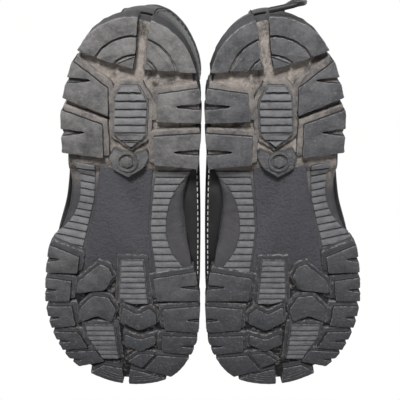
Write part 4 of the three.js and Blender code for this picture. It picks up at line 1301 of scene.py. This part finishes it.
def thread_look(name, tone, dirt):
    look = Look(name, roughness=0.8, specular=0.3, sheen=0.2)
    look.wire("Base Color", look.blend(look.ramp(look.noise(160, 4), 0.45, 0.7, 0, 0.7), tone, dirt))
    look.wire("Normal", look.bump(look.noise(2400, 2), 0.5, 0.0002))
    return look.material


def enamel_look():
    look = Look("black_enamel", roughness=0.35, metallic=0.6)
    chips = look.ramp(look.noise(500, 5, 0.7), 0.6, 0.68)
    look.wire("Base Color", look.blend(chips, srgb(40, 40, 42), srgb(150, 148, 144)))
    look.wire("Roughness", look.ramp(look.noise(300), 0.3, 0.7, 0.25, 0.5))
    return look.material


def plain_look(name, tone, roughness, grain, metallic=0.0):
    """A material for pieces that are mostly hidden: mottled colour and a fine bump."""
    look = Look(name, roughness=roughness, metallic=metallic)
    paler = tuple(min(1, 1.4 * c) for c in tone[:3]) + (1,)
    look.wire("Base Color", look.blend(look.noise(grain, 5), tone, paler))
    look.wire("Normal", look.bump(look.noise(grain * 4, 3), 0.3, 0.0004))
    return look.material


def make_looks():
    return {
        "rubber": rubber_look(),
        "foxing": foxing_look(),
        "leather": leather_look("black_leather", srgb(34, 34, 36), 0.48),
        "soft_leather": leather_look("soft_black_leather", srgb(48, 48, 52), 0.58, grain=700, depth=0.3),
        "lining": weave_look("charcoal_mesh", srgb(30, 31, 34), srgb(82, 84, 90)),
        "footbed": weave_look("footbed_cloth", srgb(38, 38, 41), srgb(92, 92, 96)),
        "lace": lace_look(),
        "aglet": plain_look("aglet_plastic", srgb(20, 20, 22), 0.55, 300),
        "white_thread": thread_look("white_thread", srgb(214, 212, 206), srgb(128, 124, 118)),
        "dark_thread": thread_look("dark_thread", srgb(52, 52, 55), srgb(30, 30, 32)),
        "enamel": enamel_look(),
        # Painted shade for the eyelets' bores.
        "hole_shade": plain_look("painted_bore_shade", srgb(6, 6, 7), 0.9, 400),
        "steel": plain_look("shank_steel", srgb(170, 172, 176), 0.35, 200, metallic=1.0),
        "board": plain_look("insole_fibreboard", srgb(150, 128, 100), 0.9, 250),
        "stiffener": plain_look("stiffener_sheet", srgb(196, 184, 160), 0.8, 250),
    }


def dress_hidden_nodes(looks):
    """CAD nodes that stay as they are get a finished material."""
    kept = {"shank": "steel", "insole_board": "board", "toe_puff": "stiffener", "heel_counter": "stiffener"}
    for side in ("left", "right"):
        for node, look in kept.items():
            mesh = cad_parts[f"{side}_{node}"].data
            mesh.materials.clear()
            mesh.materials.append(looks[look])


# ------------------------------------------------------------ stage

CAMERA_TILT, CAMERA_CENTRE, CAMERA_DISTANCE = 28, (0.002, 0.0295, 0), 0.4054
FOCAL_LENGTH = 54
# Lights: name, place, what they point at, size and power.
LIGHTS_BELOW = [
    ("sole_key", (0.1, 0.95, -0.85), (0, 0, 0), 0.25, 19),
    ("sole_fill", (-0.3, -0.45, -0.95), (0, 0, 0), 0.8, 2.2),
]
LIGHTS_ABOVE = [
    ("top_key", (-0.7, -0.8, 1.1), (0, 0, 0.05), 0.7, 15),
    ("top_fill", (0.9, 0.6, 0.9), (0, 0, 0.05), 1.0, 5),
]
FLOOR_HALF, FLOOR_DROP = 6.0, 0.0003
# The ambient light from below the horizon and from above it.
DOME_BELOW, DOME_ABOVE = 0.11, 1.0


def area_light(name, place, target, size, power):
    light = bpy.data.lights.new(name, "AREA")
    light.shape, light.size, light.energy = "DISK", size, power
    obj = bpy.data.objects.new(name, light)
    obj.location = place
    obj.rotation_euler = (Vector(target) - Vector(place)).to_track_quat("-Z", "Y").to_euler()
    bpy.context.scene.collection.objects.link(obj)
    return obj


def make_camera():
    """Looks up at the soles, 28 degrees off their normal, from the heel end."""
    tilt = math.radians(CAMERA_TILT)
    centre = Vector(CAMERA_CENTRE)
    look = Vector((0, -math.sin(tilt), math.cos(tilt)))
    up = Vector((0, math.cos(tilt), math.sin(tilt)))
    data = bpy.data.cameras.new("camera")
    data.lens, data.sensor_width, data.clip_start = FOCAL_LENGTH, 36, 0.01
    camera = bpy.data.objects.new("camera", data)
    camera.location = centre - look * CAMERA_DISTANCE
    right = look.cross(up)
    camera.rotation_euler = Matrix((right, up, -look)).transposed().to_euler()
    bpy.context.scene.collection.objects.link(camera)
    bpy.context.scene.camera = camera


def make_floor():
    """A pale floor that shows from above and lets the soles be seen from below."""
    half = FLOOR_HALF
    mesh = bpy.data.meshes.new("floor")
    corners = [(-half, -half, 0), (half, -half, 0), (half, half, 0), (-half, half, 0)]
    mesh.from_pydata(corners, [], [(0, 1, 2, 3)])
    floor = bpy.data.objects.new("floor", mesh)
    bpy.context.scene.collection.objects.link(floor)
    look = Look("pale_floor", roughness=0.9, specular=0.1)
    look.wire("Base Color", look.blend(look.noise(6), srgb(240, 239, 237), srgb(246, 246, 244)))
    clear = look.node("ShaderNodeBsdfTransparent")
    from_below = look.node("ShaderNodeNewGeometry").outputs["Backfacing"]
    seen = look.node("ShaderNodeLightPath").outputs["Is Camera Ray"]
    solid = look.math("MULTIPLY", seen, look.math("SUBTRACT", 1.0, from_below))
    both = look.node("ShaderNodeMixShader", {0: solid, 1: clear.outputs[0], 2: look.shader.outputs[0]})
    output = look.tree.nodes["Material Output"]
    look.tree.links.new(both.outputs[0], output.inputs["Surface"])
    mesh.materials.append(look.material)
    floor.location.z = -FLOOR_DROP


def make_world():
    world = bpy.data.worlds.new("studio")
    world.use_nodes = True
    nodes, links = world.node_tree.nodes, world.node_tree.links
    path = nodes.new("ShaderNodeLightPath")
    ray = nodes.new("ShaderNodeSeparateXYZ")
    links.new(nodes.new("ShaderNodeTexCoord").outputs["Generated"], ray.inputs["Vector"])
    dome = nodes.new("ShaderNodeMapRange")
    horizon = {"From Min": -0.05, "From Max": 0.05, "To Min": DOME_BELOW, "To Max": DOME_ABOVE}
    for key, value in horizon.items():
        dome.inputs[key].default_value = value
    links.new(ray.outputs["Z"], dome.inputs["Value"])
    strength = nodes.new("ShaderNodeMath")
    strength.operation = "MAXIMUM"
    links.new(path.outputs["Is Camera Ray"], strength.inputs[0])
    links.new(dome.outputs[0], strength.inputs[1])
    background = nodes["Background"]
    background.inputs["Color"].default_value = (1, 1, 0.995, 1)
    links.new(strength.outputs[0], background.inputs["Strength"])
    bpy.context.scene.world = world


def make_stage():
    scene = bpy.context.scene
    scene.view_settings.view_transform = "Standard"
    make_world()
    make_floor()
    lights = [area_light(*light) for light in LIGHTS_BELOW]
    for light in LIGHTS_ABOVE:
        area_light(*light)
    return lights


def light_only(lights, pieces):
    """Lets the lights below the ground reach the given pieces and not the upper."""
    lit = bpy.data.collections.new("lit_from_below")
    for piece in pieces:
        lit.objects.link(piece)
    for light in lights:
        light.light_linking.receiver_collection = lit


make_camera()
lights_below = make_stage()
looks = make_looks()
lit_from_below = []
for side in ("left", "right"):
    boot = Boot(side)
    lit_from_below += make_ends(boot, looks)
    lit_from_below += make_sole(boot, looks)
    make_upper(boot, looks)
    make_crossings(boot, looks)
    make_bow(boot, looks)
    make_eyelets(boot, looks)
light_only(lights_below, lit_from_below)
dress_hidden_nodes(looks)
